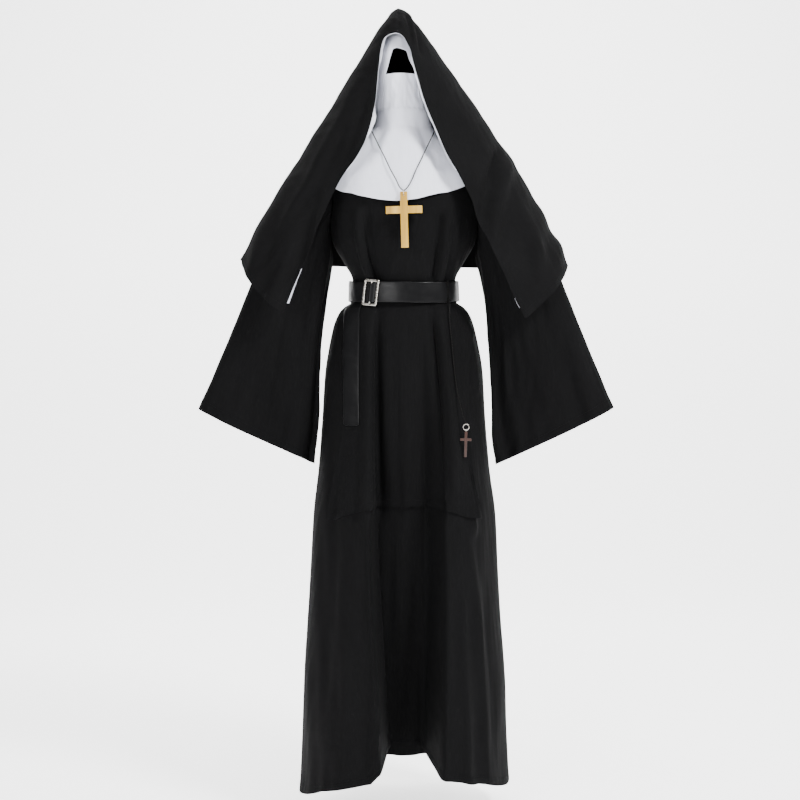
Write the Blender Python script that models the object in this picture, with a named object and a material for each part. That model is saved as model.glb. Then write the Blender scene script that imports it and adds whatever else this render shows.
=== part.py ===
"""Long black habit with veil, held open in its worn pose.

Every height in the tables is above the robe's hem, in metres. The model's origin lies on the
vertical axis at the height of the shoulders, where the wearer carries the weight. The front
faces -Y and +X is on the right of a viewer in front. Angles go round the body in degrees:
0 is the centre front, 90 the side at +X, 180 the centre back.
"""
import math

import bmesh
import bpy
import numpy as np
from mathutils import Matrix, Vector

# Main sizes
HELD_HEIGHT = 1.425
BODY_SHIFT = -0.0025
ROBE_WALL = 0.0016
SCAPULAR_GAP = 0.0006
SCAPULAR_WALL = 0.0016
BIB_INNER = 0.0060
BIB_WALL = 0.0014
SLEEVE_WALL = 0.0018
SLEEVE_ROOT_GAP = 0.0016
VEIL_WALL = 0.0016
FACING_GAP = 0.0006
FACING_WALL = 0.0012
FACING_WIDTH = 0.022
COIF_WALL = 0.0014
CHIN_GAP = 0.0006
SEAM_INSET = 0.0003
SHOULDER_TURN = 60.0

# Robe body, from the neck to the hem
BODY_COLUMNS = ("front", "side", "back", "front_depth", "half_width", "back_depth")
BODY_ROWS = [
    (1.476, 1.476, 1.476, 0.070, 0.057, 0.060),
    (1.440, 1.452, 1.455, 0.072, 0.060, 0.062),
    (1.405, 1.434, 1.432, 0.086, 0.078, 0.074),
    (1.360, 1.414, 1.395, 0.106, 0.122, 0.092),
    (1.320, 1.385, 1.355, 0.118, 0.168, 0.102),
    (1.265, 1.300, 1.280, 0.130, 0.176, 0.108),
    (1.200, 1.200, 1.200, 0.132, 0.160, 0.105),
    (1.150, 1.152, 1.151, 0.115, 0.134, 0.096),
    (1.100, 1.110, 1.106, 0.097, 0.1135, 0.087),
    (1.076, 1.086, 1.082, 0.0955, 0.1125, 0.0865),
    (1.053, 1.063, 1.059, 0.0985, 0.1155, 0.090),
    (1.038, 1.046, 1.043, 0.105, 0.139, 0.098),
    (1.010, 1.014, 1.012, 0.110, 0.154, 0.106),
    (0.970, 0.970, 0.970, 0.117, 0.1645, 0.116),
    (0.900, 0.900, 0.900, 0.129, 0.1750, 0.133),
    (0.800, 0.800, 0.800, 0.142, 0.1805, 0.147),
    (0.700, 0.700, 0.700, 0.154, 0.1880, 0.158),
    (0.600, 0.600, 0.600, 0.164, 0.1990, 0.167),
    (0.480, 0.480, 0.480, 0.175, 0.2055, 0.178),
    (0.360, 0.360, 0.360, 0.185, 0.2120, 0.188),
    (0.240, 0.240, 0.240, 0.193, 0.2200, 0.196),
    (0.120, 0.120, 0.120, 0.199, 0.2250, 0.203),
    (0.000, 0.000, 0.000, 0.203, 0.2300, 0.210),
]

# Mesh rows of the robe by front height; the armhole rows stand between the first two groups
NECK_ROWS = [1.385, 1.352]
SHOULDER_ROW = 1.320
ARMPIT_ROW = 1.200
ARMHOLE_STEPS = 6
LOWER_ROWS = [1.150, 1.100, 1.076, 1.053, 1.038, 1.010, 0.960, 0.880, 0.790, 0.700, 0.600,
              0.480, 0.360, 0.240, 0.120, 0.0]
SCAPULAR_HEM_ROW = 0.600
SCAPULAR_HEM_ARCH = 0.0170
SCAPULAR_HEM_DROP = 0.0085
ARMHOLE_CUT = 28.0

# Edges of the scapular as angles from the centre front
SCAPULAR_COLUMNS = ("height", "left", "right", "back")
SCAPULAR_ROWS = [
    (1.405, 89.2, 89.2, 89.2),
    (1.320, 89.2, 89.2, 89.2),
    (1.300, 70.0, 70.0, 70.0),
    (1.275, 59.0, 59.0, 59.0),
    (1.235, 58.5, 58.5, 58.5),
    (1.200, 62.0, 62.0, 62.0),
    (1.150, 68.0, 68.0, 68.0),
    (1.100, 75.0, 75.0, 75.0),
    (1.053, 75.0, 75.0, 75.0),
    (0.970, 60.0, 60.0, 62.0),
    (0.880, 49.0, 51.0, 55.0),
    (0.790, 46.0, 50.0, 53.0),
    (0.600, 54.6, 48.6, 52.0),
    (0.000, 54.6, 48.6, 52.0),
]

# Deep fold down the centre front: its walls' places and its depth
VALLEY_COLUMNS = ("height", "left", "right", "depth")
VALLEY_ROWS = [
    (1.405, -0.040, 0.040, 0.0),
    (1.300, -0.085, 0.075, 0.0),
    (1.240, -0.083, 0.073, 0.006),
    (1.160, -0.073, 0.063, 0.011),
    (1.100, -0.060, 0.052, 0.005),
    (1.053, -0.060, 0.052, 0.005),
    (0.950, -0.066, 0.056, 0.022),
    (0.800, -0.066, 0.062, 0.050),
    (0.600, -0.066, 0.068, 0.085),
    (0.400, -0.059, 0.070, 0.115),
    (0.200, -0.050, 0.066, 0.140),
    (0.000, -0.042, 0.060, 0.155),
]
LEFT_WALL_RUN = 0.020
RIGHT_WALL_RUN = 0.050

# Front hem: places across as a share of the half width, and how far the edge is lifted
HEM_COLUMNS = ("across", "lift")
HEM_ROWS = [(-1.0, -0.004), (-0.76, 0.028), (-0.50, 0.046), (-0.31, 0.058), (-0.21, 0.082),
            (-0.13, 0.096), (0.13, 0.096), (0.24, 0.072), (0.32, 0.060), (0.42, 0.056),
            (0.68, 0.042), (0.96, 0.010), (1.0, 0.008)]
HEM_LIFT_FROM = 0.58
LEFT_FORWARD = 0.040
RIGHT_RIDGE = (0.62, 0.13, 0.014)
BACK_FOLDS = [(138.0, 15.0, 0.020), (180.0, 17.0, 0.026), (224.0, 15.0, 0.020)]
FOLDS_FROM = 1.02

# Sleeves: outer and inner edge of each section as (out from the axis, height)
SLEEVE_COLUMNS = ("outer_x", "outer_z", "inner_x", "inner_z", "centre_y", "thickness", "tuck")
RIGHT_SLEEVE = [
    (0.2250, 1.345, 0.1660, 1.120, -0.006, 0.056, 0.25),
    (0.2640, 1.280, 0.1780, 1.030, -0.010, 0.054, 0.45),
    (0.3040, 1.200, 0.1860, 0.950, -0.013, 0.053, 0.55),
    (0.3470, 1.100, 0.1880, 0.865, -0.016, 0.053, 0.62),
    (0.4050, 0.965, 0.1905, 0.775, -0.019, 0.054, 0.66),
    (0.4600, 0.830, 0.1990, 0.704, -0.022, 0.055, 0.70),
]
LEFT_SLEEVE = [
    (0.2250, 1.345, 0.1645, 1.120, -0.006, 0.056, 0.25),
    (0.2620, 1.280, 0.1770, 1.030, -0.010, 0.054, 0.45),
    (0.3000, 1.200, 0.1850, 0.950, -0.013, 0.053, 0.55),
    (0.3420, 1.100, 0.1890, 0.865, -0.016, 0.053, 0.62),
    (0.3980, 0.960, 0.1915, 0.775, -0.019, 0.054, 0.66),
    (0.4530, 0.826, 0.1975, 0.706, -0.022, 0.055, 0.70),
]
SLEEVE_HEM_BOW = 0.002

# Bib collar: lower edge by angle, as a front height of the body table
BIB_COLUMNS = ("angle", "hem")
BIB_HEM = [(-180.0, 1.330), (-135.0, 1.340), (-90.0, 1.345), (-75.0, 1.330), (-64.0, 1.300),
           (-56.0, 1.284), (-50.0, 1.283), (-40.0, 1.285), (-30.0, 1.279), (-15.0, 1.270),
           (-5.0, 1.2672), (8.0, 1.271), (17.0, 1.278), (28.0, 1.2868), (40.0, 1.293),
           (50.0, 1.294), (56.0, 1.298), (64.0, 1.308), (75.0, 1.332), (90.0, 1.345),
           (135.0, 1.340), (180.0, 1.330)]
BIB_TOP = 1.4757
BIB_ROWS = [0.0, 0.10, 0.21, 0.34, 0.50, 0.67, 0.84, 1.0]

# Veil sections and its front edge
VEIL_COLUMNS = ("height", "centre", "half_width", "front_depth", "back_depth")
VEIL_ROWS = [
    (1.717, -0.0155, 0.000, 0.000, 0.000),
    (1.704, -0.0120, 0.019, 0.028, 0.028),
    (1.690, -0.0110, 0.029, 0.048, 0.046),
    (1.664, -0.0110, 0.049, 0.076, 0.072),
    (1.624, -0.0090, 0.0756, 0.094, 0.090),
    (1.579, -0.0070, 0.1044, 0.106, 0.103),
    (1.513, -0.0045, 0.149, 0.117, 0.112),
    (1.424, -0.0010, 0.2078, 0.130, 0.131),
    (1.335, -0.0020, 0.262, 0.143, 0.152),
    (1.246, -0.0030, 0.314, 0.152, 0.170),
    (1.157, -0.0020, 0.3656, 0.156, 0.180),
    (1.090, -0.0020, 0.402, 0.150, 0.184),
    (1.000, -0.0020, 0.444, 0.140, 0.188),
]
EDGE_COLUMNS = ("height", "left", "right")
VEIL_EDGE = [
    (1.6375, -0.0216, -0.0216),
    (1.6345, -0.0355, -0.0110),
    (1.6260, -0.0474, -0.0022),
    (1.6135, -0.0517, 0.0043),
    (1.5990, -0.0538, 0.0108),
    (1.5760, -0.0559, 0.0160),
    (1.5320, -0.0600, 0.0279),
    (1.4870, -0.0641, 0.0406),
    (1.4425, -0.0724, 0.0575),
    (1.3980, -0.0850, 0.0765),
    (1.3550, -0.1060, 0.0955),
    (1.3120, -0.1400, 0.1230),
    (1.2910, -0.1505, 0.1336),
    (1.2360, -0.1735, 0.1520),
    (1.1050, -0.2313, 0.2150),
    (1.0210, -0.2650, 0.2563),
]
VEIL_HEM = [(-180.0, 1.160), (-90.0, 1.160), (-78.0, 1.153), (-68.0, 1.133), (-57.0, 1.1028),
            (-50.0, 1.0765), (-37.4, 1.0317), (36.9, 1.0210), (50.0, 1.0722), (57.5, 1.0990),
            (68.0, 1.1245), (78.0, 1.1426), (90.0, 1.1496), (180.0, 1.160)]
VEIL_FRONT_ROWS = [1.717, 1.704, 1.686, 1.662, 1.6375, 1.6345, 1.626, 1.610, 1.580, 1.532, 1.475,
                   1.415, 1.355, 1.300, 1.230, 1.140, 1.026]
VEIL_SEAM_ROW = 4
VEIL_FLUTES = [(128.0, 13.0, 0.012), (155.0, 12.0, 0.015), (184.0, 13.0, 0.017),
               (212.0, 12.0, 0.014), (238.0, 13.0, 0.012)]
FLUTES_FROM = 1.56
FLUTES_LENGTH = 0.42

# Coif hood sections and its face opening
COIF_ROWS = [
    (1.672, -0.009, 0.000, 0.000, 0.000),
    (1.662, -0.009, 0.026, 0.036, 0.034),
    (1.640, -0.009, 0.047, 0.061, 0.056),
    (1.600, -0.009, 0.062, 0.080, 0.074),
    (1.550, -0.009, 0.068, 0.086, 0.080),
    (1.510, -0.008, 0.065, 0.081, 0.073),
    (1.4765, -0.0025, 0.0625, 0.0755, 0.0655),
]
COIF_EDGE = [
    (1.6080, -0.0180, -0.0180),
    (1.6060, -0.0260, -0.0110),
    (1.6000, -0.0285, 0.0040),
    (1.5875, -0.0323, 0.0070),
    (1.5790, -0.0345, 0.0100),
    (1.5570, -0.0410, 0.0225),
    (1.5505, -0.0430, 0.0250),
    (1.4765, -0.0470, 0.0330),
]
COIF_FRONT_ROWS = [1.672, 1.661, 1.637, 1.608, 1.606, 1.600, 1.588, 1.572, 1.5505, 1.526, 1.500,
                   1.4765]
COIF_SEAM_ROW = 3
CHIN_TOP_ROW = 8
CHIN_PARTS = 8

# Belt, its tail and the slide buckle
BELT_TOP_ROW = 1.0985
BELT_BOTTOM_ROW = 1.0560
BELT_INNER = 0.0055
BELT_THICK = 0.0030
BELT_PARTS = 48
TAIL_COLUMNS = ("height", "left", "right")
TAIL_ROWS = [(1.084, -76.0, -52.0), (1.053, -74.0, -51.0), (1.038, -68.0, -45.5),
             (1.010, -60.0, -40.5), (0.960, -53.6, -37.2), (0.880, -49.0, -34.5),
             (0.791, -47.0, -33.2)]
TAIL_INNER = 0.0030
TAIL_WALL = 0.0017
TAIL_CORNER = 0.003
BUCKLE_ANGLE = -35.5
BUCKLE_SIZE = (0.038, 0.057)
BUCKLE_RAIL = 0.006
BUCKLE_BAR = 0.004
BUCKLE_THICK = 0.003
BUCKLE_TILT = 7.0

# Cord tied round the belt, with its small cross
CORD_RADIUS = 0.0013
LOOP_ANGLE = 51.0
LOOP_WIDTH = 0.006
KNOT_RADIUS = 0.0036
BELT_CORD_COLUMNS = ("x", "height", "clear")
BELT_CORD_ROUTE = [(0.0915, 1.036, 0.0075), (0.0924, 1.023, 0.0063), (0.0935, 1.010, 0.0056),
                   (0.0954, 0.990, 0.0054), (0.0975, 0.970, 0.0054), (0.0994, 0.947, 0.0054),
                   (0.1015, 0.924, 0.0055), (0.1035, 0.900, 0.0058), (0.1054, 0.880, 0.0066),
                   (0.1070, 0.865, 0.0076), (0.1085, 0.850, 0.0090), (0.1105, 0.832, 0.0120),
                   (0.1125, 0.815, 0.0150), (0.1145, 0.805, 0.0172), (0.1165, 0.7965, 0.0195)]
RING_RADIUS = 0.0064
RING_WIRE = 0.0008
RING_GAP = 0.0009
RING_TURN = 12.0
EYE_RADIUS = 0.0023
EYE_WIRE = 0.0005
EYE_GAP = 0.0003
BELT_CROSS = (0.024, 0.054, 0.0058, 0.0055, 0.0042)
BELT_ARM_DROP = 0.017
BELT_CROSS_TILT = 2.0

# Necklace
NECKLACE_RADIUS = 0.0011
NECKLACE_COLUMNS = ("angle", "height", "clear")
NECKLACE_ROUTE = [(-1.5, 1.2885, 0.0124), (-2.2, 1.2905, 0.0122), (-3.6, 1.2965, 0.0120),
                  (-5.5, 1.3100, 0.0118), (-10.0, 1.3325, 0.0118), (-17.5, 1.3575, 0.0118),
                  (-29.0, 1.3825, 0.0118), (-48.0, 1.4050, 0.0120), (-65.5, 1.4150, 0.0124),
                  (-90.0, 1.4280, 0.0134), (-125.0, 1.4380, 0.0134), (-180.0, 1.4420, 0.0128),
                  (125.0, 1.4380, 0.0134), (90.0, 1.4280, 0.0134), (58.5, 1.4150, 0.0124),
                  (44.0, 1.4050, 0.0120), (27.0, 1.3825, 0.0118), (16.5, 1.3575, 0.0118),
                  (9.0, 1.3325, 0.0118), (5.5, 1.3100, 0.0118), (3.4, 1.2975, 0.0120),
                  (1.6, 1.2905, 0.0122)]
NECKLACE_POINTS = 64
PENDANT_X = -0.0035
PENDANT_Y = -0.1425
PIVOT_HEIGHT = 1.2881
LINK_RADIUS = 0.0060
LINK_WIRE = 0.0006
LINK_GAP = 0.0004
PENDANT_CROSS = (0.077, 0.118, 0.0155, 0.0155, 0.0055)
PENDANT_ARM_DROP = 0.038
PENDANT_HOLE = 0.0072
PENDANT_BORE = 0.0015
PENDANT_TILT = -1.5

BLACK = (0.012, 0.012, 0.013)
WHITE = (0.80, 0.81, 0.86)
LEATHER = (0.010, 0.010, 0.011)
NICKEL = (0.62, 0.60, 0.56)
PALE_WOOD = (0.72, 0.46, 0.16)
RED_WOOD = (0.17, 0.045, 0.022)


def table(columns, rows):
    """A dictionary of arrays, one for each named column."""
    return {name: np.array([row[i] for row in rows], float) for i, name in enumerate(columns)}


def smooth(value):
    value = np.clip(value, 0.0, 1.0)
    return value * value * (3.0 - 2.0 * value)


def curve(knots, values, at):
    """Smooth curve through the given knots that never overshoots them."""
    order = np.argsort(knots)
    knots = np.asarray(knots, float)[order]
    values = np.asarray(values, float)[order]
    slopes = np.diff(values) / np.diff(knots)
    tangents = np.zeros(len(knots))
    both = slopes[:-1] * slopes[1:]
    total = slopes[:-1] + slopes[1:]
    safe = np.where(both > 0.0, total, 1.0)
    tangents[1:-1] = np.where(both > 0.0, 2.0 * both / safe, 0.0)
    tangents[0] = slopes[0]
    tangents[-1] = slopes[-1]
    at = np.clip(at, knots[0], knots[-1])
    left = np.clip(np.searchsorted(knots, at, side="right") - 1, 0, len(knots) - 2)
    run = knots[left + 1] - knots[left]
    part = (at - knots[left]) / run
    rest = 1.0 - part
    return (values[left] * (1.0 + 2.0 * part) * rest ** 2 + tangents[left] * run * part * rest ** 2
            + values[left + 1] * part ** 2 * (3.0 - 2.0 * part)
            - tangents[left + 1] * run * part ** 2 * rest)


BODY = table(BODY_COLUMNS, BODY_ROWS)
VALLEY = table(VALLEY_COLUMNS, VALLEY_ROWS)
SCAPULAR = table(SCAPULAR_COLUMNS, SCAPULAR_ROWS)
HEM = table(HEM_COLUMNS, HEM_ROWS)
VEIL = table(VEIL_COLUMNS, VEIL_ROWS)
COIF = table(VEIL_COLUMNS, COIF_ROWS)


def body(name, height):
    return curve(BODY["front"], BODY[name], height)


def figure(height, angle):
    """Point of the plain body surface for a front height and an angle."""
    height, angle = np.broadcast_arrays(np.asarray(height, float), np.asarray(angle, float))
    turn = np.radians(angle)
    in_front = np.cos(turn) >= 0.0
    depth = np.where(in_front, body("front_depth", height), body("back_depth", height))
    end = np.where(in_front, height, body("back", height))
    side = body("side", height)
    off_side = np.abs(90.0 - np.abs((angle + 180.0) % 360.0 - 180.0))
    level = side + (end - side) * smooth(off_side / SHOULDER_TURN)
    across = body("half_width", height) * np.sin(turn)
    return np.stack([across, -depth * np.cos(turn), level], axis=-1)


def lobe(value, centre, reach):
    """Rounded ridge of height 1 at the centre, gone beyond the reach."""
    return smooth(1.0 - np.abs(value - centre) / reach)


def robe_point(height, angle):
    """Point of the draped robe: the body with its folds, lifted hem and forward sway."""
    height, angle = np.broadcast_arrays(np.asarray(height, float), np.asarray(angle, float))
    point = figure(height, angle).copy()
    in_front = np.cos(np.radians(angle)) >= 0.0
    width = body("half_width", height)
    across = point[..., 0] / width
    left = curve(VALLEY["height"], VALLEY["left"], height)
    right = curve(VALLEY["height"], VALLEY["right"], height)
    depth = curve(VALLEY["height"], VALLEY["depth"], height)
    inside = (smooth((point[..., 0] - left) / LEFT_WALL_RUN + 0.5)
              * smooth((right - point[..., 0]) / RIGHT_WALL_RUN + 0.5))
    point[..., 1] += np.where(in_front, depth * inside, 0.0)
    below = np.clip(1.0 - height / FOLDS_FROM, 0.0, 1.0)
    ridge_at, ridge_reach, ridge_height = RIGHT_RIDGE
    ridge = ridge_height * below * lobe(across, ridge_at, ridge_reach)
    point[..., 1] -= np.where(in_front, ridge, 0.0)
    round_turn = angle % 360.0
    for centre, reach, size in BACK_FOLDS:
        point[..., 1] -= size * below * lobe(round_turn, centre, reach)
    point[..., 1] -= LEFT_FORWARD * below * (1.0 - across) / 2.0
    low = np.clip(1.0 - height / HEM_LIFT_FROM, 0.0, 1.0) ** 2
    front_lift = np.interp(across, HEM["across"], HEM["lift"])
    back_lift = 0.006 + 0.004 * np.abs(np.cos(np.radians(angle)))
    side_share = np.where(across < 0.0, smooth(np.abs(np.cos(np.radians(angle))) * 2.0), 1.0)
    point[..., 2] += low * np.where(in_front, front_lift, back_lift * side_share)
    point[..., 0] += BODY_SHIFT * smooth(height / 0.4)
    return point


def number_grid(rows, columns):
    return np.arange(rows * columns).reshape(rows, columns)


def grid_faces(points, index, cells):
    """Triangles over the chosen cells, cut along each cell's shorter diagonal."""
    faces = []
    for row in range(index.shape[0] - 1):
        for column in range(index.shape[1] - 1):
            if not cells[row, column]:
                continue
            ring = [index[row, column], index[row + 1, column], index[row + 1, column + 1],
                    index[row, column + 1]]
            a, b, c, d = (int(n) for n in ring)
            if np.linalg.norm(points[a] - points[c]) <= np.linalg.norm(points[b] - points[d]):
                halves = ([a, b, c], [a, c, d])
            else:
                halves = ([a, b, d], [b, c, d])
            faces += [half for half in halves if len(set(half)) == 3]
    return faces


def grid_normals(points, index, cells):
    normals = np.zeros_like(points)
    for face in grid_faces(points, index, cells):
        corner = points[face]
        across = np.cross(corner[1] - corner[0], corner[2] - corner[0])
        for n in face:
            normals[n] += across
    length = np.linalg.norm(normals, axis=1)
    return normals / np.where(length > 0.0, length, 1.0)[:, None]


def material(name, colour, roughness, metallic=0.0):
    made = bpy.data.materials.new(name)
    made.use_nodes = True
    shader = made.node_tree.nodes["Principled BSDF"]
    shader.inputs["Base Color"].default_value = (*colour, 1.0)
    shader.inputs["Roughness"].default_value = roughness
    shader.inputs["Metallic"].default_value = metallic
    return made


def add_mesh(name, points, faces, colour, roughness, metallic=0.0, crease=60.0):
    """Object from closed faces, turned so that they point out."""
    points = np.asarray(points, float)
    volume = 0.0
    for face in faces:
        for i in range(1, len(face) - 1):
            volume += np.dot(points[face[0]], np.cross(points[face[i]], points[face[i + 1]]))
    if volume < 0.0:
        faces = [face[::-1] for face in faces]
    mesh = bpy.data.meshes.new(name)
    mesh.from_pydata([tuple(p) for p in points], [], faces)
    mesh.update()
    mesh.shade_smooth()
    mesh.set_sharp_from_angle(angle=math.radians(crease))
    made = bpy.data.objects.new(name, mesh)
    made.data.materials.append(material(name, colour, roughness, metallic))
    bpy.context.scene.collection.objects.link(made)
    return made


def shell(name, points, normals, index, cells, outer, inner, colour, roughness, metallic=0.0,
          seam=0.0):
    """Thin closed solid between two offsets of the chosen cells of a surface."""
    faces = grid_faces(points, index, cells)
    used = sorted({n for face in faces for n in face})
    place = {n: i for i, n in enumerate(used)}
    edges = {}
    for face in faces:
        for i, n in enumerate(face):
            edges[(n, face[(i + 1) % len(face)])] = face
    rim = [edge for edge in edges if (edge[1], edge[0]) not in edges]
    moved = points.copy()
    if seam > 0.0:
        inward = {}
        for start, end in rim:
            middle = points[edges[(start, end)]].mean(axis=0)
            along = points[end] - points[start]
            along = along / np.linalg.norm(along)
            step = middle - points[start]
            step = step - along * np.dot(step, along)
            step = step / np.linalg.norm(step)
            for n in (start, end):
                inward.setdefault(n, []).append(step)
        for n, steps in inward.items():
            moved[n] = points[n] + seam * np.mean(steps, axis=0)
    base = moved[used] - np.array([0.0, 0.0, HELD_HEIGHT])
    normal = normals[used]
    both = np.concatenate([base + normal * outer, base + normal * inner])
    count = len(used)
    solid = [[place[n] for n in face] for face in faces]
    solid += [[place[n] + count for n in reversed(face)] for face in faces]
    for start, end in rim:
        solid.append([place[end], place[start], place[start] + count, place[end] + count])
    return add_mesh(name, both, solid, colour, roughness, metallic)


def spread(knots, parts):
    """Values from knot to knot, each stretch cut into its number of parts."""
    values = [knots[0]]
    for start, end, count in zip(knots[:-1], knots[1:], parts):
        values += [start + (end - start) * (i + 1) / count for i in range(count)]
    return values


FRONT_PARTS = (2, 5, 3, 4, 4, 5, 2)
BACK_PARTS = (2, 6, 6, 2)
FRONT_COLUMNS = sum(FRONT_PARTS) + 1
BACK_COLUMNS = sum(BACK_PARTS) + 1


def armhole_cut(height):
    share = (SHOULDER_ROW - height) / (SHOULDER_ROW - ARMPIT_ROW)
    return ARMHOLE_CUT * math.sin(math.pi * share) if 0.0 < share < 1.0 else 0.0


def armhole_rows():
    drop = SHOULDER_ROW - ARMPIT_ROW
    steps = range(ARMHOLE_STEPS + 1)
    return [SHOULDER_ROW - drop * (1.0 - math.cos(math.pi * i / ARMHOLE_STEPS)) / 2.0
            for i in steps]


def at_angle(x, height):
    share = float(x / body("half_width", height))
    return math.degrees(math.asin(max(-0.98, min(0.98, share))))


def robe_grid():
    """The whole robe ring, front columns first, with its two side seams joined."""
    rows = NECK_ROWS + armhole_rows() + LOWER_ROWS
    heights = []
    angles = []
    for height in rows:
        cut = armhole_cut(height)
        left = float(curve(SCAPULAR["height"], SCAPULAR["left"], height))
        right = float(curve(SCAPULAR["height"], SCAPULAR["right"], height))
        back = float(curve(SCAPULAR["height"], SCAPULAR["back"], height))
        valley_left = float(curve(VALLEY["height"], VALLEY["left"], height))
        valley_right = float(curve(VALLEY["height"], VALLEY["right"], height))
        walls = [at_angle(valley_left - LEFT_WALL_RUN / 2, height),
                 at_angle(valley_left + LEFT_WALL_RUN / 2, height),
                 at_angle(valley_right - RIGHT_WALL_RUN / 2, height),
                 at_angle(valley_right + RIGHT_WALL_RUN / 2, height)]
        front = spread([cut - 90.0, -left] + walls + [right, 90.0 - cut], FRONT_PARTS)
        rear = spread([90.0 + cut, 180.0 - back, 180.0, 180.0 + back, 270.0 - cut], BACK_PARTS)
        angles.append(front + rear)
        level = np.full(len(front) + len(rear), float(height))
        if height == SCAPULAR_HEM_ROW:
            turn = np.array(front) / 50.0
            level[:len(front)] += (SCAPULAR_HEM_ARCH
                                   - (SCAPULAR_HEM_ARCH + SCAPULAR_HEM_DROP) * smooth(turn ** 2))
        heights.append(level)
    heights = np.array(heights)
    angles = np.array(angles)
    points = robe_point(heights, angles).reshape(-1, 3)
    index = number_grid(*angles.shape)
    for i, height in enumerate(rows):
        if armhole_cut(height) == 0.0:
            index[i, FRONT_COLUMNS] = index[i, FRONT_COLUMNS - 1]
            index[i, -1] = index[i, 0]
    cells = np.ones((angles.shape[0] - 1, angles.shape[1] - 1), bool)
    cells[:, FRONT_COLUMNS - 1] = False
    return rows, points, index, cells


def build_robe():
    rows, points, index, cells = robe_grid()
    normals = grid_normals(points, index, cells)
    front = cells.copy()
    front[:, FRONT_COLUMNS - 1:] = False
    back = cells.copy()
    back[:, :FRONT_COLUMNS] = False
    for name, chosen in (("robe_front", front), ("robe_back", back)):
        shell(name, points, normals, index, chosen, 0.0, -ROBE_WALL, BLACK, 0.85,
              seam=SEAM_INSET)
    last = rows.index(SCAPULAR_HEM_ROW)
    worn = cells.copy()
    worn[last:, :] = False
    over_front = worn & front
    over_front[:, :FRONT_PARTS[0]] = False
    over_front[:, FRONT_COLUMNS - 1 - FRONT_PARTS[-1]:] = False
    over_back = worn & back
    over_back[:, :FRONT_COLUMNS + BACK_PARTS[0]] = False
    over_back[:, FRONT_COLUMNS + BACK_COLUMNS - 1 - BACK_PARTS[-1]:] = False
    top = SCAPULAR_GAP + SCAPULAR_WALL
    for name, chosen in (("scapular_front", over_front), ("scapular_back", over_back)):
        shell(name, points, normals, index, chosen, top, SCAPULAR_GAP, BLACK, 0.82)


def sleeve_root(side):
    """Ring just outside the armhole, through the robe's own edge points, top first."""
    front = []
    back = []
    for height in armhole_rows():
        cut = armhole_cut(height)
        front.append(robe_point(height, side * (90.0 - cut)))
        back.append(robe_point(height, side * (90.0 + cut)))
    around = front + back[-2:0:-1]
    ring = []
    for i, point in enumerate(around):
        following = around[(i + 1) % len(around)]
        ring.append(point)
        ring.append((point + following) / 2.0)
    return np.array(ring) + np.array([side * SLEEVE_ROOT_GAP, 0.0, 0.0])


def build_sleeve(name, side, rows):
    sections = table(SLEEVE_COLUMNS, rows)
    root = sleeve_root(side)
    count = len(root)
    theta = np.arange(count) / count * 2.0 * math.pi
    rings = []
    for i in range(len(rows)):
        outer = np.array([side * sections["outer_x"][i], 0.0, sections["outer_z"][i]])
        inner = np.array([side * sections["inner_x"][i], 0.0, sections["inner_z"][i]])
        tuck = 1.0 - sections["tuck"][i] * smooth((1.0 - np.cos(theta)) / 2.0 * 1.2)
        ring = (outer + inner) / 2.0 + np.outer(np.cos(theta), (outer - inner) / 2.0)
        ring[:, 1] = sections["centre_y"][i] - sections["thickness"][i] * np.sin(theta) * tuck
        rings.append(ring)
    bow = np.sin(theta) ** 2 * SLEEVE_HEM_BOW
    rings[-1][:, 2] -= bow
    puff = (root + rings[0]) / 2.0
    puff[:, 0] += side * 0.004 * np.cos(theta)
    puff[:, 2] += 0.006 * np.maximum(np.cos(theta), 0.0)
    last = (rings[-1] + rings[-2]) / 2.0
    points = np.array([root, puff] + rings[:-1] + [last] + rings[-1:])
    flat = points.reshape(-1, 3)
    index = number_grid(len(points), count)
    index = np.concatenate([index, index[:, :1]], axis=1)
    cells = np.ones((index.shape[0] - 1, index.shape[1] - 1), bool)
    normals = grid_normals(flat, index, cells)
    centre = flat.mean(axis=0)
    if np.sum((flat - centre) * normals) < 0.0:
        normals = -normals
    shell(name, flat, normals, index, cells, 0.0, -SLEEVE_WALL, BLACK, 0.85)


def build_bib():
    angles = np.array(spread([-180.0, -90.0, 90.0, 180.0], (6, 24, 6)))
    hem = table(BIB_COLUMNS, BIB_HEM)
    low = curve(hem["angle"], hem["hem"], angles)
    share = np.array(BIB_ROWS)[:, None]
    heights = BIB_TOP - share * (BIB_TOP - low[None, :])
    points = figure(heights, angles[None, :]).reshape(-1, 3)
    points[:, 0] += BODY_SHIFT
    index = number_grid(len(BIB_ROWS), len(angles))
    index[:, -1] = index[:, 0]
    cells = np.ones((index.shape[0] - 1, index.shape[1] - 1), bool)
    normals = grid_normals(points, index, cells)
    shell("bib", points, normals, index, cells, BIB_INNER + BIB_WALL, BIB_INNER, WHITE, 0.8)


def section_point(sections, height, angle):
    """Point of a hood on its sections."""
    turn = np.radians(angle)
    centre = curve(sections["height"], sections["centre"], height)
    width = curve(sections["height"], sections["half_width"], height)
    front = curve(sections["height"], sections["front_depth"], height)
    back = curve(sections["height"], sections["back_depth"], height)
    depth = np.where(np.cos(turn) >= 0.0, front, back)
    return np.stack([centre + width * np.sin(turn), -depth * np.cos(turn),
                     height + 0.0 * turn], axis=-1)


def edge_angle(sections, x, height):
    centre = float(curve(sections["height"], sections["centre"], height))
    width = float(curve(sections["height"], sections["half_width"], height))
    return math.degrees(math.asin(max(-0.999, min(0.999, (x - centre) / width))))


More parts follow.
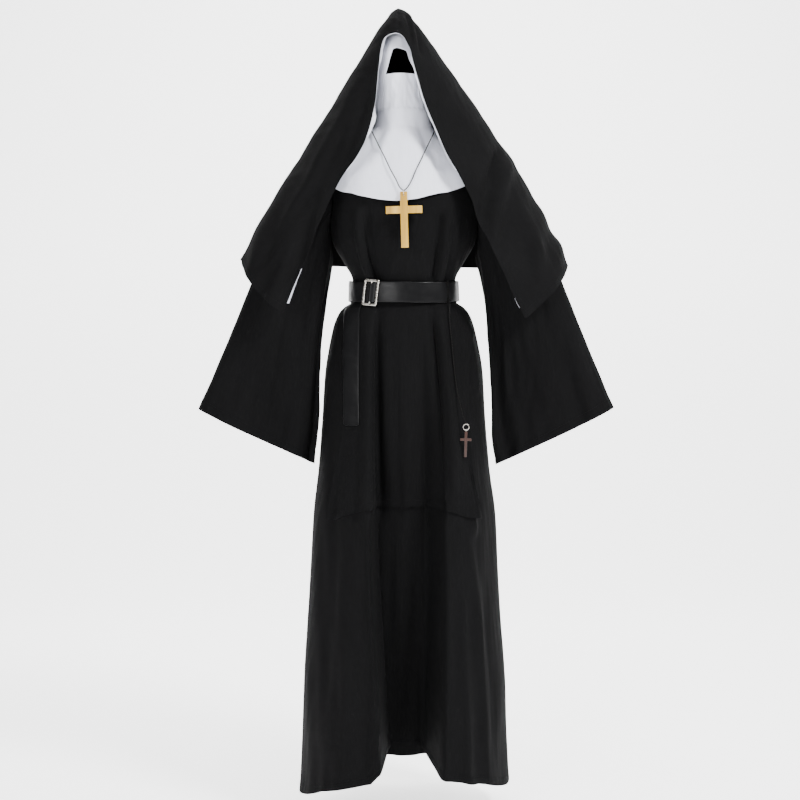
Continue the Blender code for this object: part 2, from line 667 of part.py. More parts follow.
def hood_grid(sections, edge, front_rows, seam_row, hem, parts, strip):
    """Rows from the crown down; closed above the seam row and open in front below it.

    Columns run from the front edge at +X round the back to the front edge at -X.
    """
    top = front_rows[0]
    bottom = front_rows[-1]
    points = []
    for i, level in enumerate(front_rows):
        asked = min(level, edge["height"][0])
        if i <= seam_row:
            middle = float(edge["left"][0])
            start = edge_angle(sections, middle, edge["height"][0])
            finish = start
        else:
            start = edge_angle(sections, float(curve(edge["height"], edge["right"], asked)), asked)
            finish = edge_angle(sections, float(curve(edge["height"], edge["left"], asked)), asked)
        width = max(float(curve(sections["height"], sections["half_width"], level)), 0.02)
        band = min(math.degrees(strip / width), 30.0) if strip > 0.0 else 12.0
        knots = [start, start + band, 90.0, 180.0, 270.0, 360.0 + finish - band, 360.0 + finish]
        angle = np.array(spread(knots, parts))
        signed = (angle + 180.0) % 360.0 - 180.0
        signed = np.where(angle == 180.0, 180.0, signed)
        low = np.interp(signed, hem["angle"], hem["level"])
        height = top - (top - level) * (top - low) / (top - bottom)
        points.append(section_point(sections, height, angle))
    points = np.array(points)
    index = number_grid(points.shape[0], points.shape[1])
    index[0, :] = index[0, 0]
    for i in range(1, seam_row + 1):
        index[i, -1] = index[i, 0]
    return points, index


def build_veil():
    edge = table(EDGE_COLUMNS, VEIL_EDGE)
    hem = table(("angle", "level"), VEIL_HEM)
    parts = (1, 6, 8, 8, 6, 1)
    points, index = hood_grid(VEIL, edge, VEIL_FRONT_ROWS, VEIL_SEAM_ROW, hem, parts,
                              FACING_WIDTH)
    around = np.degrees(np.arctan2(points[..., 0], -points[..., 1])) % 360.0
    grown = smooth((FLUTES_FROM - points[..., 2]) / FLUTES_LENGTH)
    for centre, reach, size in VEIL_FLUTES:
        points[..., 1] += size * grown * lobe(around, centre, reach)
    flat = points.reshape(-1, 3)
    cells = np.ones((index.shape[0] - 1, index.shape[1] - 1), bool)
    normals = grid_normals(flat, index, cells)
    shell("veil", flat, normals, index, cells, 0.0, -VEIL_WALL, BLACK, 0.85)
    band = np.zeros_like(cells)
    band[VEIL_SEAM_ROW - 1:-1, 0] = True
    band[VEIL_SEAM_ROW - 1:-1, -1] = True
    start = -VEIL_WALL - FACING_GAP
    shell("veil_facing", flat, normals, index, band, start, start - FACING_WALL, WHITE, 0.8)


def build_coif():
    edge = table(EDGE_COLUMNS, COIF_EDGE)
    hem = table(("angle", "level"), [(-180.0, COIF_FRONT_ROWS[-1]), (180.0, COIF_FRONT_ROWS[-1])])
    parts = (1, 3, 4, 4, 3, 1)
    points, index = hood_grid(COIF, edge, COIF_FRONT_ROWS, COIF_SEAM_ROW, hem, parts, 0.0)
    flat = points.reshape(-1, 3)
    cells = np.ones((index.shape[0] - 1, index.shape[1] - 1), bool)
    normals = grid_normals(flat, index, cells)
    shell("coif_hood", flat, normals, index, cells, 0.0, -COIF_WALL, WHITE, 0.8)
    rows = []
    for level in COIF_FRONT_ROWS[CHIN_TOP_ROW:]:
        width = float(curve(COIF["height"], COIF["half_width"], level))
        gap = math.degrees(CHIN_GAP / (width * 0.9))
        left = edge_angle(COIF, float(curve(edge["height"], edge["left"], level)), level) + gap
        right = edge_angle(COIF, float(curve(edge["height"], edge["right"], level)), level) - gap
        angle = np.linspace(left, right, CHIN_PARTS + 1)
        rows.append(section_point(COIF, np.full(len(angle), level), angle))
    grid = np.array(rows)
    flat = grid.reshape(-1, 3)
    index = number_grid(grid.shape[0], grid.shape[1])
    cells = np.ones((index.shape[0] - 1, index.shape[1] - 1), bool)
    normals = grid_normals(flat, index, cells)
    shell("coif_chin", flat, normals, index, cells, 0.0, -COIF_WALL, WHITE, 0.8)


def belt_frame(angle, row):
    """Point of the robe at the belt, its outward direction and its direction round the body."""
    before = figure(row, angle - 0.5)
    after = figure(row, angle + 0.5)
    along = after - before
    along[..., 2] = 0.0
    along = along / np.linalg.norm(along, axis=-1, keepdims=True)
    out = np.stack([along[..., 1], -along[..., 0], 0.0 * along[..., 0]], axis=-1)
    point = figure(row, angle) + np.array([BODY_SHIFT, 0.0, 0.0])
    return point, out, along


def build_belt():
    angles = -180.0 + 360.0 * np.arange(BELT_PARTS) / BELT_PARTS
    top, top_out, _ = belt_frame(angles, BELT_TOP_ROW)
    low, low_out, _ = belt_frame(angles, BELT_BOTTOM_ROW)
    points = np.concatenate([top, low])
    normals = np.concatenate([top_out, low_out])
    index = number_grid(2, BELT_PARTS)
    index = np.concatenate([index, index[:, :1]], axis=1)
    cells = np.ones((1, BELT_PARTS), bool)
    shell("belt", points, normals, index, cells, BELT_INNER + BELT_THICK, BELT_INNER, LEATHER,
          0.38)


def build_tail():
    tail = table(TAIL_COLUMNS, TAIL_ROWS)
    share = np.linspace(0.0, 1.0, 5)
    angles = tail["left"][:, None] * (1.0 - share) + tail["right"][:, None] * share
    heights = np.repeat(tail["height"][:, None], len(share), axis=1)
    heights[-1, 0] += TAIL_CORNER
    heights[-1, -1] += TAIL_CORNER
    points = robe_point(heights, angles).reshape(-1, 3)
    index = number_grid(len(TAIL_ROWS), len(share))
    cells = np.ones((index.shape[0] - 1, index.shape[1] - 1), bool)
    normals = grid_normals(points, index, cells)
    shell("belt_tail", points, normals, index, cells, TAIL_INNER + TAIL_WALL, TAIL_INNER,
          LEATHER, 0.38)


def plate(name, centre, across, up, out, xs, zs, chosen, thick, colour, roughness, metallic=0.0):
    """Flat pierced plate: cells between the lines xs and zs, its back on the centre's plane."""
    points = np.array([[centre + across * x + up * z for x in xs] for z in zs]).reshape(-1, 3)
    normals = np.repeat(out[None, :], len(points), axis=0)
    index = number_grid(len(zs), len(xs))
    return shell(name, points, normals, index, np.array(chosen, bool), thick, 0.0, colour,
                 roughness, metallic)


def bevel(made, width):
    edge = made.modifiers.new("Rounded edges", "BEVEL")
    edge.width = width
    edge.segments = 1
    edge.limit_method = "ANGLE"
    edge.angle_limit = math.radians(40.0)


def build_buckle():
    top, top_out, _ = belt_frame(np.array(BUCKLE_ANGLE), BELT_TOP_ROW)
    low, low_out, along = belt_frame(np.array(BUCKLE_ANGLE), BELT_BOTTOM_ROW)
    slope = top - low
    up = slope / np.linalg.norm(slope)
    out = np.cross(along, up)
    out = out / np.linalg.norm(out)
    if np.dot(out, top_out) < 0.0:
        out = -out
    lean = math.radians(-BUCKLE_TILT)
    across = along * math.cos(lean) + up * math.sin(lean)
    rise = up * math.cos(lean) - along * math.sin(lean)
    lift = BELT_INNER + BELT_THICK + 0.0008
    centre = (top + low) / 2.0 + (top_out + low_out) / 2.0 * lift
    half_x = BUCKLE_SIZE[0] / 2
    half_z = BUCKLE_SIZE[1] / 2
    bar = BUCKLE_BAR / 2
    xs = [-half_x, -half_x + BUCKLE_RAIL, -bar, bar, half_x - BUCKLE_RAIL, half_x]
    zs = [half_z, half_z - BUCKLE_RAIL, -half_z + BUCKLE_RAIL, -half_z]
    chosen = [[1, 1, 1, 1, 1], [1, 0, 1, 0, 1], [1, 1, 1, 1, 1]]
    made = plate("buckle", centre, across, rise, out, xs, zs, chosen, BUCKLE_THICK, NICKEL, 0.3,
                 1.0)
    bevel(made, 0.0008)


def build_cord_loop():
    """Band round the belt's section, and the knot in front of its lower edge."""
    top, top_out, _ = belt_frame(np.array(LOOP_ANGLE), BELT_TOP_ROW)
    low, low_out, along = belt_frame(np.array(LOOP_ANGLE), BELT_BOTTOM_ROW)
    thick = 0.001
    clear = 0.0004
    near = BELT_INNER - clear - thick
    outs = [near, BELT_INNER - clear, BELT_INNER + BELT_THICK + clear,
            BELT_INNER + BELT_THICK + clear + thick]
    lifts = [(top, top_out, clear + thick), (top, top_out, clear), (low, low_out, -clear),
             (low, low_out, -clear - thick)]
    points = np.array([[base + out * step + np.array([0.0, 0.0, lift]) for step in outs]
                       for base, out, lift in lifts]).reshape(-1, 3)
    normals = np.repeat(along[None, :], len(points), axis=0)
    index = number_grid(4, 4)
    chosen = np.array([[1, 1, 1], [1, 0, 1], [1, 1, 1]], bool)
    half = LOOP_WIDTH / 2
    shell("cord_loop", points, normals, index, chosen, half, -half, BLACK, 0.7)
    lift = outs[-1] + clear + KNOT_RADIUS
    centre = low + low_out * lift + np.array([0.0, 0.0, KNOT_RADIUS])
    add_ball("cord_knot", centre, KNOT_RADIUS, BLACK, 0.7)
    return centre


def add_ball(name, centre, radius, colour, roughness):
    made_mesh = bmesh.new()
    bmesh.ops.create_uvsphere(made_mesh, u_segments=12, v_segments=8, radius=radius)
    mesh = bpy.data.meshes.new(name)
    made_mesh.to_mesh(mesh)
    made_mesh.free()
    mesh.shade_smooth()
    made = bpy.data.objects.new(name, mesh)
    made.location = (centre[0], centre[1], centre[2] - HELD_HEIGHT)
    made.data.materials.append(material(name, colour, roughness))
    bpy.context.scene.collection.objects.link(made)


def add_ring(name, centre, radius, wire, turn, colour, roughness, parts=24, sides=8):
    """Wire ring round the Y axis of its own frame, turned about Z."""
    points = []
    for i in range(parts):
        a = 2.0 * math.pi * i / parts
        for j in range(sides):
            b = 2.0 * math.pi * j / sides
            reach = radius + wire * math.cos(b)
            points.append((reach * math.cos(a), wire * math.sin(b), reach * math.sin(a)))
    faces = []
    for i in range(parts):
        for j in range(sides):
            following = (i + 1) % parts
            beside = (j + 1) % sides
            faces.append([i * sides + j, i * sides + beside, following * sides + beside,
                          following * sides + j])
    turned = Matrix.Rotation(math.radians(turn), 3, "Z")
    placed = [tuple(turned @ Vector(p)) for p in points]
    made = add_mesh(name, placed, faces, colour, roughness, 1.0, crease=80.0)
    made.location = (centre[0], centre[1], centre[2] - HELD_HEIGHT)
    return made


def hang_from(name, centre, pieces):
    """Empty on the swing's axis that carries the pieces where they are."""
    pivot = bpy.data.objects.new(name, None)
    pivot.location = (centre[0], centre[1], centre[2] - HELD_HEIGHT)
    bpy.context.scene.collection.objects.link(pivot)
    for piece in pieces:
        piece.parent = pivot
        piece.matrix_parent_inverse = Matrix.Translation(-pivot.location)


def smooth_route(route, count, closed):
    """Evenly spaced points on a smooth curve through the route."""
    route = np.array(route, float)
    ahead = len(route) if closed else len(route) - 1
    fine = []
    for i in range(ahead):
        if closed:
            a, b, c, d = (route[(i + k) % len(route)] for k in (-1, 0, 1, 2))
        else:
            b = route[i]
            c = route[i + 1]
            a = route[i - 1] if i > 0 else 2.0 * b - c
            d = route[i + 2] if i + 2 < len(route) else 2.0 * c - b
        for step in range(24):
            t = step / 24.0
            fine.append(0.5 * (2.0 * b + (c - a) * t + (2.0 * a - 5.0 * b + 4.0 * c - d) * t * t
                               + (3.0 * b - 3.0 * c + d - a) * t ** 3))
    fine.append(route[0] if closed else route[-1])
    fine = np.array(fine)
    steps = np.linalg.norm(np.diff(fine, axis=0), axis=1)
    run = np.concatenate([[0.0], np.cumsum(steps)])
    places = np.linspace(0.0, run[-1], count + 1 if closed else count)
    if closed:
        places = places[:-1]
    return np.stack([np.interp(places, run, fine[:, k]) for k in range(3)], axis=1)


def add_cord(name, points, radius, closed, colour):
    line = bpy.data.curves.new(name, "CURVE")
    line.dimensions = "3D"
    line.bevel_depth = radius
    line.bevel_resolution = 2
    line.use_fill_caps = True
    spline = line.splines.new("POLY")
    spline.points.add(len(points) - 1)
    for knot, point in zip(spline.points, points):
        knot.co = (point[0], point[1], point[2] - HELD_HEIGHT, 1.0)
    spline.use_cyclic_u = closed
    spline.use_smooth = True
    made = bpy.data.objects.new(name, line)
    made.data.materials.append(material(name, colour, 0.7))
    bpy.context.scene.collection.objects.link(made)


def front_at(x, height, clear):
    """Point in front of the robe at a place across, as far out as asked."""
    angle = at_angle(x - BODY_SHIFT, height)
    before = robe_point(height, angle - 1.0)
    after = robe_point(height, angle + 1.0)
    along = after - before
    out = np.array([along[1], -along[0], 0.0])
    out = out / np.linalg.norm(out)
    return robe_point(height, angle) + out * clear


def cross_solid(name, centre, size, arm_drop, tilt, colour, hole):
    """Two crossed bars, from the middle of the top edge down, with an optional hole."""
    width, height, post, arm, thick = size
    lean = math.radians(tilt)
    across = np.array([math.cos(lean), 0.0, -math.sin(lean)])
    up = np.array([math.sin(lean), 0.0, math.cos(lean)])
    out = np.array([0.0, -1.0, 0.0])
    xs = [-width / 2, -post / 2, post / 2, width / 2]
    zs = [0.0, -arm_drop + arm / 2, -arm_drop - arm / 2, -height]
    chosen = [[0, 1, 0], [1, 1, 1], [0, 1, 0]]
    base = np.asarray(centre, float) + np.array([0.0, thick / 2, 0.0])
    made = plate(name, base, across, up, out, xs, zs, chosen, thick, colour, 0.5)
    bevel(made, 0.0006)
    if hole > 0.0:
        tool = bmesh.new()
        bmesh.ops.create_cone(tool, cap_ends=True, segments=16, radius1=hole, radius2=hole,
                              depth=thick * 4.0)
        mesh = bpy.data.meshes.new(name + "_drill")
        tool.to_mesh(mesh)
        tool.free()
        drill = bpy.data.objects.new(name + "_drill", mesh)
        place = np.asarray(centre, float) - up * PENDANT_HOLE
        drill.location = (place[0], place[1], place[2] - HELD_HEIGHT)
        drill.rotation_euler = (math.pi / 2, 0.0, 0.0)
        drill.hide_render = True
        drill.display_type = "WIRE"
        bpy.context.scene.collection.objects.link(drill)
        drill.parent = made
        cut = made.modifiers.new("Hole", "BOOLEAN")
        cut.operation = "DIFFERENCE"
        cut.object = drill
        cut.solver = "EXACT"
    return made


def build_belt_pendant(knot):
    route = table(BELT_CORD_COLUMNS, BELT_CORD_ROUTE)
    points = [knot - np.array([0.0, 0.0, KNOT_RADIUS + CORD_RADIUS])]
    points += [front_at(x, height, clear)
               for x, height, clear in zip(route["x"], route["height"], route["clear"])]
    add_cord("belt_cord", smooth_route(points, 40, False), CORD_RADIUS, False, BLACK)
    end = points[-1]
    ring = end - np.array([0.0, 0.0, RING_RADIUS + RING_WIRE + RING_GAP])
    band = add_ring("belt_ring", ring, RING_RADIUS, RING_WIRE, RING_TURN, NICKEL, 0.35)
    eye = ring - np.array([0.0, 0.0, RING_RADIUS])
    link = add_ring("belt_cross_eye", eye, EYE_RADIUS, EYE_WIRE, RING_TURN + 90.0, NICKEL, 0.35,
                    16, 6)
    top = eye - np.array([0.0, 0.0, EYE_RADIUS + EYE_WIRE + EYE_GAP])
    cross = cross_solid("belt_cross", top, BELT_CROSS, BELT_ARM_DROP, BELT_CROSS_TILT, RED_WOOD,
                        0.0)
    hang_from("belt_cross_pivot", ring + np.array([0.0, 0.0, RING_RADIUS]), [band, link, cross])


def build_necklace():
    route = table(NECKLACE_COLUMNS, NECKLACE_ROUTE)
    points = []
    for angle, height, clear in zip(route["angle"], route["height"], route["clear"]):
        around = figure(height, angle + 1.0) - figure(height, angle - 1.0)
        down = figure(height - 0.004, angle) - figure(height + 0.004, angle)
        out = np.cross(down, around)
        base = figure(height, angle) + np.array([BODY_SHIFT, 0.0, 0.0])
        points.append(base + out / np.linalg.norm(out) * clear)
    points[0] = np.array([PENDANT_X, PENDANT_Y, PIVOT_HEIGHT])
    add_cord("necklace_cord", smooth_route(points, NECKLACE_POINTS, True), NECKLACE_RADIUS, True,
             BLACK)
    link_top = PIVOT_HEIGHT + NECKLACE_RADIUS + LINK_GAP + LINK_WIRE
    middle = (PENDANT_X, PENDANT_Y, link_top - LINK_RADIUS)
    link = add_ring("necklace_ring", middle, LINK_RADIUS, LINK_WIRE, 90.0, NICKEL, 0.35, 20, 6)
    top = (PENDANT_X, PENDANT_Y, link_top - 2.0 * LINK_RADIUS + PENDANT_HOLE)
    cross = cross_solid("necklace_cross", top, PENDANT_CROSS, PENDANT_ARM_DROP, PENDANT_TILT,
                        PALE_WOOD, PENDANT_BORE)
    hang_from("necklace_cross_pivot", (PENDANT_X, PENDANT_Y, PIVOT_HEIGHT), [link, cross])


def main():
    for old in list(bpy.data.objects):
        bpy.data.objects.remove(old, do_unlink=True)
    build_robe()
    build_sleeve("sleeve_right", 1.0, RIGHT_SLEEVE)
    build_sleeve("sleeve_left", -1.0, LEFT_SLEEVE)
    build_bib()
    build_veil()
    build_coif()
    build_belt()
    build_tail()
    build_buckle()
    build_belt_pendant(build_cord_loop())
    build_necklace()


main()
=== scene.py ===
"""Looks of the black habit with veil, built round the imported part.

Heights in the tables are above the robe's hem; the model's origin is HELD_HEIGHT above it.
The front faces -Y. Angles go round the body: 0 is the centre front, 90 the side at +X.
"""

import math

import bmesh
import bpy
import numpy as np
from mathutils import Matrix, Vector


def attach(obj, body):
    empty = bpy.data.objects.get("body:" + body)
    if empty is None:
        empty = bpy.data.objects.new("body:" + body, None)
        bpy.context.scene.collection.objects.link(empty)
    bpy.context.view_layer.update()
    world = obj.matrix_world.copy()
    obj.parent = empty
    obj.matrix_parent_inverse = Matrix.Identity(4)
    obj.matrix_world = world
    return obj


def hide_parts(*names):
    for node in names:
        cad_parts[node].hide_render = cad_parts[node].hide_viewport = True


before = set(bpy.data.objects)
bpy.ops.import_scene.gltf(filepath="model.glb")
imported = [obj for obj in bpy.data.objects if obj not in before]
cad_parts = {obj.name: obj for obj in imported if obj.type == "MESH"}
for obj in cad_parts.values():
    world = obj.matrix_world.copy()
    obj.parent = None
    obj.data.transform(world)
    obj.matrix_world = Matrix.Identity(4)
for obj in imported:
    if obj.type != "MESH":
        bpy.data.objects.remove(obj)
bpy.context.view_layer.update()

# Main sizes
HELD_HEIGHT = 1.425
BODY_SHIFT = -0.0025
ROBE_WALL = 0.0016
SCAPULAR_GAP = 0.0006
SCAPULAR_WALL = 0.0016
BIB_INNER = 0.0060
BIB_WALL = 0.0014
SLEEVE_WALL = 0.0018
SLEEVE_ROOT_GAP = 0.0016
VEIL_WALL = 0.0016
FACING_GAP = 0.0006
FACING_WALL = 0.0012
FACING_WIDTH = 0.022
COIF_WALL = 0.0014
CHIN_GAP = 0.0006
SEAM_INSET = 0.0003
SHOULDER_TURN = 60.0

# Robe body, from the neck to the hem
BODY_COLUMNS = ("front", "side", "back", "front_depth", "half_width", "back_depth")
BODY_ROWS = [
    (1.476, 1.476, 1.476, 0.070, 0.057, 0.060),
    (1.440, 1.452, 1.455, 0.072, 0.060, 0.062),
    (1.405, 1.434, 1.432, 0.086, 0.078, 0.074),
    (1.360, 1.414, 1.395, 0.106, 0.122, 0.092),
    (1.320, 1.385, 1.355, 0.118, 0.168, 0.102),
    (1.265, 1.300, 1.280, 0.130, 0.176, 0.108),
    (1.200, 1.200, 1.200, 0.132, 0.160, 0.105),
    (1.150, 1.152, 1.151, 0.115, 0.134, 0.096),
    (1.100, 1.110, 1.106, 0.097, 0.1135, 0.087),
    (1.076, 1.086, 1.082, 0.0955, 0.1125, 0.0865),
    (1.053, 1.063, 1.059, 0.0985, 0.1155, 0.090),
    (1.038, 1.046, 1.043, 0.105, 0.139, 0.098),
    (1.010, 1.014, 1.012, 0.110, 0.154, 0.106),
    (0.970, 0.970, 0.970, 0.117, 0.1645, 0.116),
    (0.900, 0.900, 0.900, 0.129, 0.1750, 0.133),
    (0.800, 0.800, 0.800, 0.142, 0.1805, 0.147),
    (0.700, 0.700, 0.700, 0.154, 0.1880, 0.158),
    (0.600, 0.600, 0.600, 0.164, 0.1990, 0.167),
    (0.480, 0.480, 0.480, 0.175, 0.2055, 0.178),
    (0.360, 0.360, 0.360, 0.185, 0.2120, 0.188),
    (0.240, 0.240, 0.240, 0.193, 0.2200, 0.196),
    (0.120, 0.120, 0.120, 0.199, 0.2250, 0.203),
    (0.000, 0.000, 0.000, 0.203, 0.2300, 0.210),
]

# Mesh rows of the robe by front height; the armhole rows stand between the first two groups
NECK_ROWS = [1.385, 1.352]
SHOULDER_ROW = 1.320
ARMPIT_ROW = 1.200
ARMHOLE_STEPS = 6
LOWER_ROWS = [1.150, 1.100, 1.076, 1.053, 1.038, 1.010, 0.960, 0.880, 0.790, 0.700, 0.600,
              0.480, 0.360, 0.240, 0.120, 0.0]
SCAPULAR_HEM_ROW = 0.600
SCAPULAR_HEM_ARCH = 0.0170
SCAPULAR_HEM_DROP = 0.0085
ARMHOLE_CUT = 28.0

# Edges of the scapular as angles from the centre front
SCAPULAR_COLUMNS = ("height", "left", "right", "back")
SCAPULAR_ROWS = [
    (1.405, 89.2, 89.2, 89.2),
    (1.320, 89.2, 89.2, 89.2),
    (1.300, 70.0, 70.0, 70.0),
    (1.275, 59.0, 59.0, 59.0),
    (1.235, 58.5, 58.5, 58.5),
    (1.200, 62.0, 62.0, 62.0),
    (1.150, 68.0, 68.0, 68.0),
    (1.100, 75.0, 75.0, 75.0),
    (1.053, 75.0, 75.0, 75.0),
    (0.970, 60.0, 60.0, 62.0),
    (0.880, 49.0, 51.0, 55.0),
    (0.790, 46.0, 50.0, 53.0),
    (0.600, 54.6, 48.6, 52.0),
    (0.000, 54.6, 48.6, 52.0),
]

# Deep fold down the centre front: its walls' places and its depth
VALLEY_COLUMNS = ("height", "left", "right", "depth")
VALLEY_ROWS = [
    (1.405, -0.040, 0.040, 0.0),
    (1.300, -0.085, 0.075, 0.0),
    (1.240, -0.083, 0.073, 0.006),
    (1.160, -0.073, 0.063, 0.011),
    (1.100, -0.060, 0.052, 0.005),
    (1.053, -0.060, 0.052, 0.005),
    (0.950, -0.066, 0.056, 0.022),
    (0.800, -0.066, 0.062, 0.050),
    (0.600, -0.066, 0.068, 0.085),
    (0.400, -0.059, 0.070, 0.115),
    (0.200, -0.050, 0.066, 0.140),
    (0.000, -0.042, 0.060, 0.155),
]
LEFT_WALL_RUN = 0.020
RIGHT_WALL_RUN = 0.050

# Front hem: places across as a share of the half width, and how far the edge is lifted
HEM_COLUMNS = ("across", "lift")
HEM_ROWS = [(-1.0, -0.004), (-0.76, 0.028), (-0.50, 0.046), (-0.31, 0.058), (-0.21, 0.082),
            (-0.13, 0.096), (0.13, 0.096), (0.24, 0.072), (0.32, 0.060), (0.42, 0.056),
            (0.68, 0.042), (0.96, 0.010), (1.0, 0.008)]
HEM_LIFT_FROM = 0.58
LEFT_FORWARD = 0.040
RIGHT_RIDGE = (0.62, 0.13, 0.014)
BACK_FOLDS = [(138.0, 15.0, 0.020), (180.0, 17.0, 0.026), (224.0, 15.0, 0.020)]
FOLDS_FROM = 1.02

# Sleeves: outer and inner edge of each section as (out from the axis, height)
SLEEVE_COLUMNS = ("outer_x", "outer_z", "inner_x", "inner_z", "centre_y", "thickness", "tuck")
RIGHT_SLEEVE = [
    (0.2250, 1.345, 0.1660, 1.120, -0.006, 0.056, 0.25),
    (0.2640, 1.280, 0.1780, 1.030, -0.010, 0.054, 0.45),
    (0.3040, 1.200, 0.1860, 0.950, -0.013, 0.053, 0.55),
    (0.3470, 1.100, 0.1880, 0.865, -0.016, 0.053, 0.62),
    (0.4050, 0.965, 0.1905, 0.775, -0.019, 0.054, 0.66),
    (0.4600, 0.830, 0.1990, 0.704, -0.022, 0.055, 0.70),
]
LEFT_SLEEVE = [
    (0.2250, 1.345, 0.1645, 1.120, -0.006, 0.056, 0.25),
    (0.2620, 1.280, 0.1770, 1.030, -0.010, 0.054, 0.45),
    (0.3000, 1.200, 0.1850, 0.950, -0.013, 0.053, 0.55),
    (0.3420, 1.100, 0.1890, 0.865, -0.016, 0.053, 0.62),
    (0.3980, 0.960, 0.1915, 0.775, -0.019, 0.054, 0.66),
    (0.4530, 0.826, 0.1975, 0.706, -0.022, 0.055, 0.70),
]
SLEEVE_HEM_BOW = 0.002

# Bib collar: lower edge by angle, as a front height of the body table
BIB_COLUMNS = ("angle", "hem")
BIB_HEM = [(-180.0, 1.330), (-135.0, 1.340), (-90.0, 1.345), (-75.0, 1.330), (-64.0, 1.300),
           (-56.0, 1.284), (-50.0, 1.283), (-40.0, 1.285), (-30.0, 1.279), (-15.0, 1.270),
           (-5.0, 1.2672), (8.0, 1.271), (17.0, 1.278), (28.0, 1.2868), (40.0, 1.293),
           (50.0, 1.294), (56.0, 1.298), (64.0, 1.308), (75.0, 1.332), (90.0, 1.345),
           (135.0, 1.340), (180.0, 1.330)]
BIB_TOP = 1.4757
BIB_ROWS = [0.0, 0.10, 0.21, 0.34, 0.50, 0.67, 0.84, 1.0]

# Veil sections and its front edge
VEIL_COLUMNS = ("height", "centre", "half_width", "front_depth", "back_depth")
VEIL_ROWS = [
    (1.717, -0.0155, 0.000, 0.000, 0.000),
    (1.704, -0.0120, 0.019, 0.028, 0.028),
    (1.690, -0.0110, 0.029, 0.048, 0.046),
    (1.664, -0.0110, 0.049, 0.076, 0.072),
    (1.624, -0.0090, 0.0756, 0.094, 0.090),
    (1.579, -0.0070, 0.1044, 0.106, 0.103),
    (1.513, -0.0045, 0.149, 0.117, 0.112),
    (1.424, -0.0010, 0.2078, 0.130, 0.131),
    (1.335, -0.0020, 0.262, 0.143, 0.152),
    (1.246, -0.0030, 0.314, 0.152, 0.170),
    (1.157, -0.0020, 0.3656, 0.156, 0.180),
    (1.090, -0.0020, 0.402, 0.150, 0.184),
    (1.000, -0.0020, 0.444, 0.140, 0.188),
]
EDGE_COLUMNS = ("height", "left", "right")
VEIL_EDGE = [
    (1.6375, -0.0216, -0.0216),
    (1.6345, -0.0355, -0.0110),
    (1.6260, -0.0474, -0.0022),
    (1.6135, -0.0517, 0.0043),
    (1.5990, -0.0538, 0.0108),
    (1.5760, -0.0559, 0.0160),
    (1.5320, -0.0600, 0.0279),
    (1.4870, -0.0641, 0.0406),
    (1.4425, -0.0724, 0.0575),
    (1.3980, -0.0850, 0.0765),
    (1.3550, -0.1060, 0.0955),
    (1.3120, -0.1400, 0.1230),
    (1.2910, -0.1505, 0.1336),
    (1.2360, -0.1735, 0.1520),
    (1.1050, -0.2313, 0.2150),
    (1.0210, -0.2650, 0.2563),
]
VEIL_HEM = [(-180.0, 1.160), (-90.0, 1.160), (-78.0, 1.153), (-68.0, 1.133), (-57.0, 1.1028),
            (-50.0, 1.0765), (-37.4, 1.0317), (36.9, 1.0210), (50.0, 1.0722), (57.5, 1.0990),
            (68.0, 1.1245), (78.0, 1.1426), (90.0, 1.1496), (180.0, 1.160)]
VEIL_FRONT_ROWS = [1.717, 1.704, 1.686, 1.662, 1.6375, 1.6345, 1.626, 1.610, 1.580, 1.532, 1.475,
                   1.415, 1.355, 1.300, 1.230, 1.140, 1.026]
VEIL_SEAM_ROW = 4
VEIL_FLUTES = [(128.0, 13.0, 0.012), (155.0, 12.0, 0.015), (184.0, 13.0, 0.017),
               (212.0, 12.0, 0.014), (238.0, 13.0, 0.012)]
FLUTES_FROM = 1.56
FLUTES_LENGTH = 0.42

# Coif hood sections and its face opening
COIF_ROWS = [
    (1.672, -0.009, 0.000, 0.000, 0.000),
    (1.662, -0.009, 0.026, 0.036, 0.034),
    (1.640, -0.009, 0.047, 0.061, 0.056),
    (1.600, -0.009, 0.062, 0.080, 0.074),
    (1.550, -0.009, 0.068, 0.086, 0.080),
    (1.510, -0.008, 0.065, 0.081, 0.073),
    (1.4765, -0.0025, 0.0625, 0.0755, 0.0655),
]
COIF_EDGE = [
    (1.6080, -0.0180, -0.0180),
    (1.6060, -0.0260, -0.0110),
    (1.6000, -0.0285, 0.0040),
    (1.5875, -0.0323, 0.0070),
    (1.5790, -0.0345, 0.0100),
    (1.5570, -0.0410, 0.0225),
    (1.5505, -0.0430, 0.0250),
    (1.4765, -0.0470, 0.0330),
]
COIF_FRONT_ROWS = [1.672, 1.661, 1.637, 1.608, 1.606, 1.600, 1.588, 1.572, 1.5505, 1.526, 1.500,
                   1.4765]
COIF_SEAM_ROW = 3
CHIN_TOP_ROW = 8
CHIN_PARTS = 8

# Belt, its tail and the slide buckle
BELT_TOP_ROW = 1.0985
BELT_BOTTOM_ROW = 1.0560
BELT_INNER = 0.0055
BELT_THICK = 0.0030
BELT_PARTS = 48
TAIL_COLUMNS = ("height", "left", "right")
TAIL_ROWS = [(1.084, -73.0, -49.0), (1.053, -71.0, -48.0), (1.038, -65.2, -42.5),
             (1.010, -57.4, -37.6), (0.960, -51.2, -34.5), (0.880, -46.8, -32.2),
             (0.791, -45.0, -31.2)]
TAIL_INNER = 0.0030
TAIL_WALL = 0.0017
TAIL_CORNER = 0.003
BUCKLE_ANGLE = -35.5
BUCKLE_SIZE = (0.038, 0.057)
BUCKLE_RAIL = 0.006
BUCKLE_BAR = 0.004
BUCKLE_THICK = 0.003
BUCKLE_TILT = 7.0

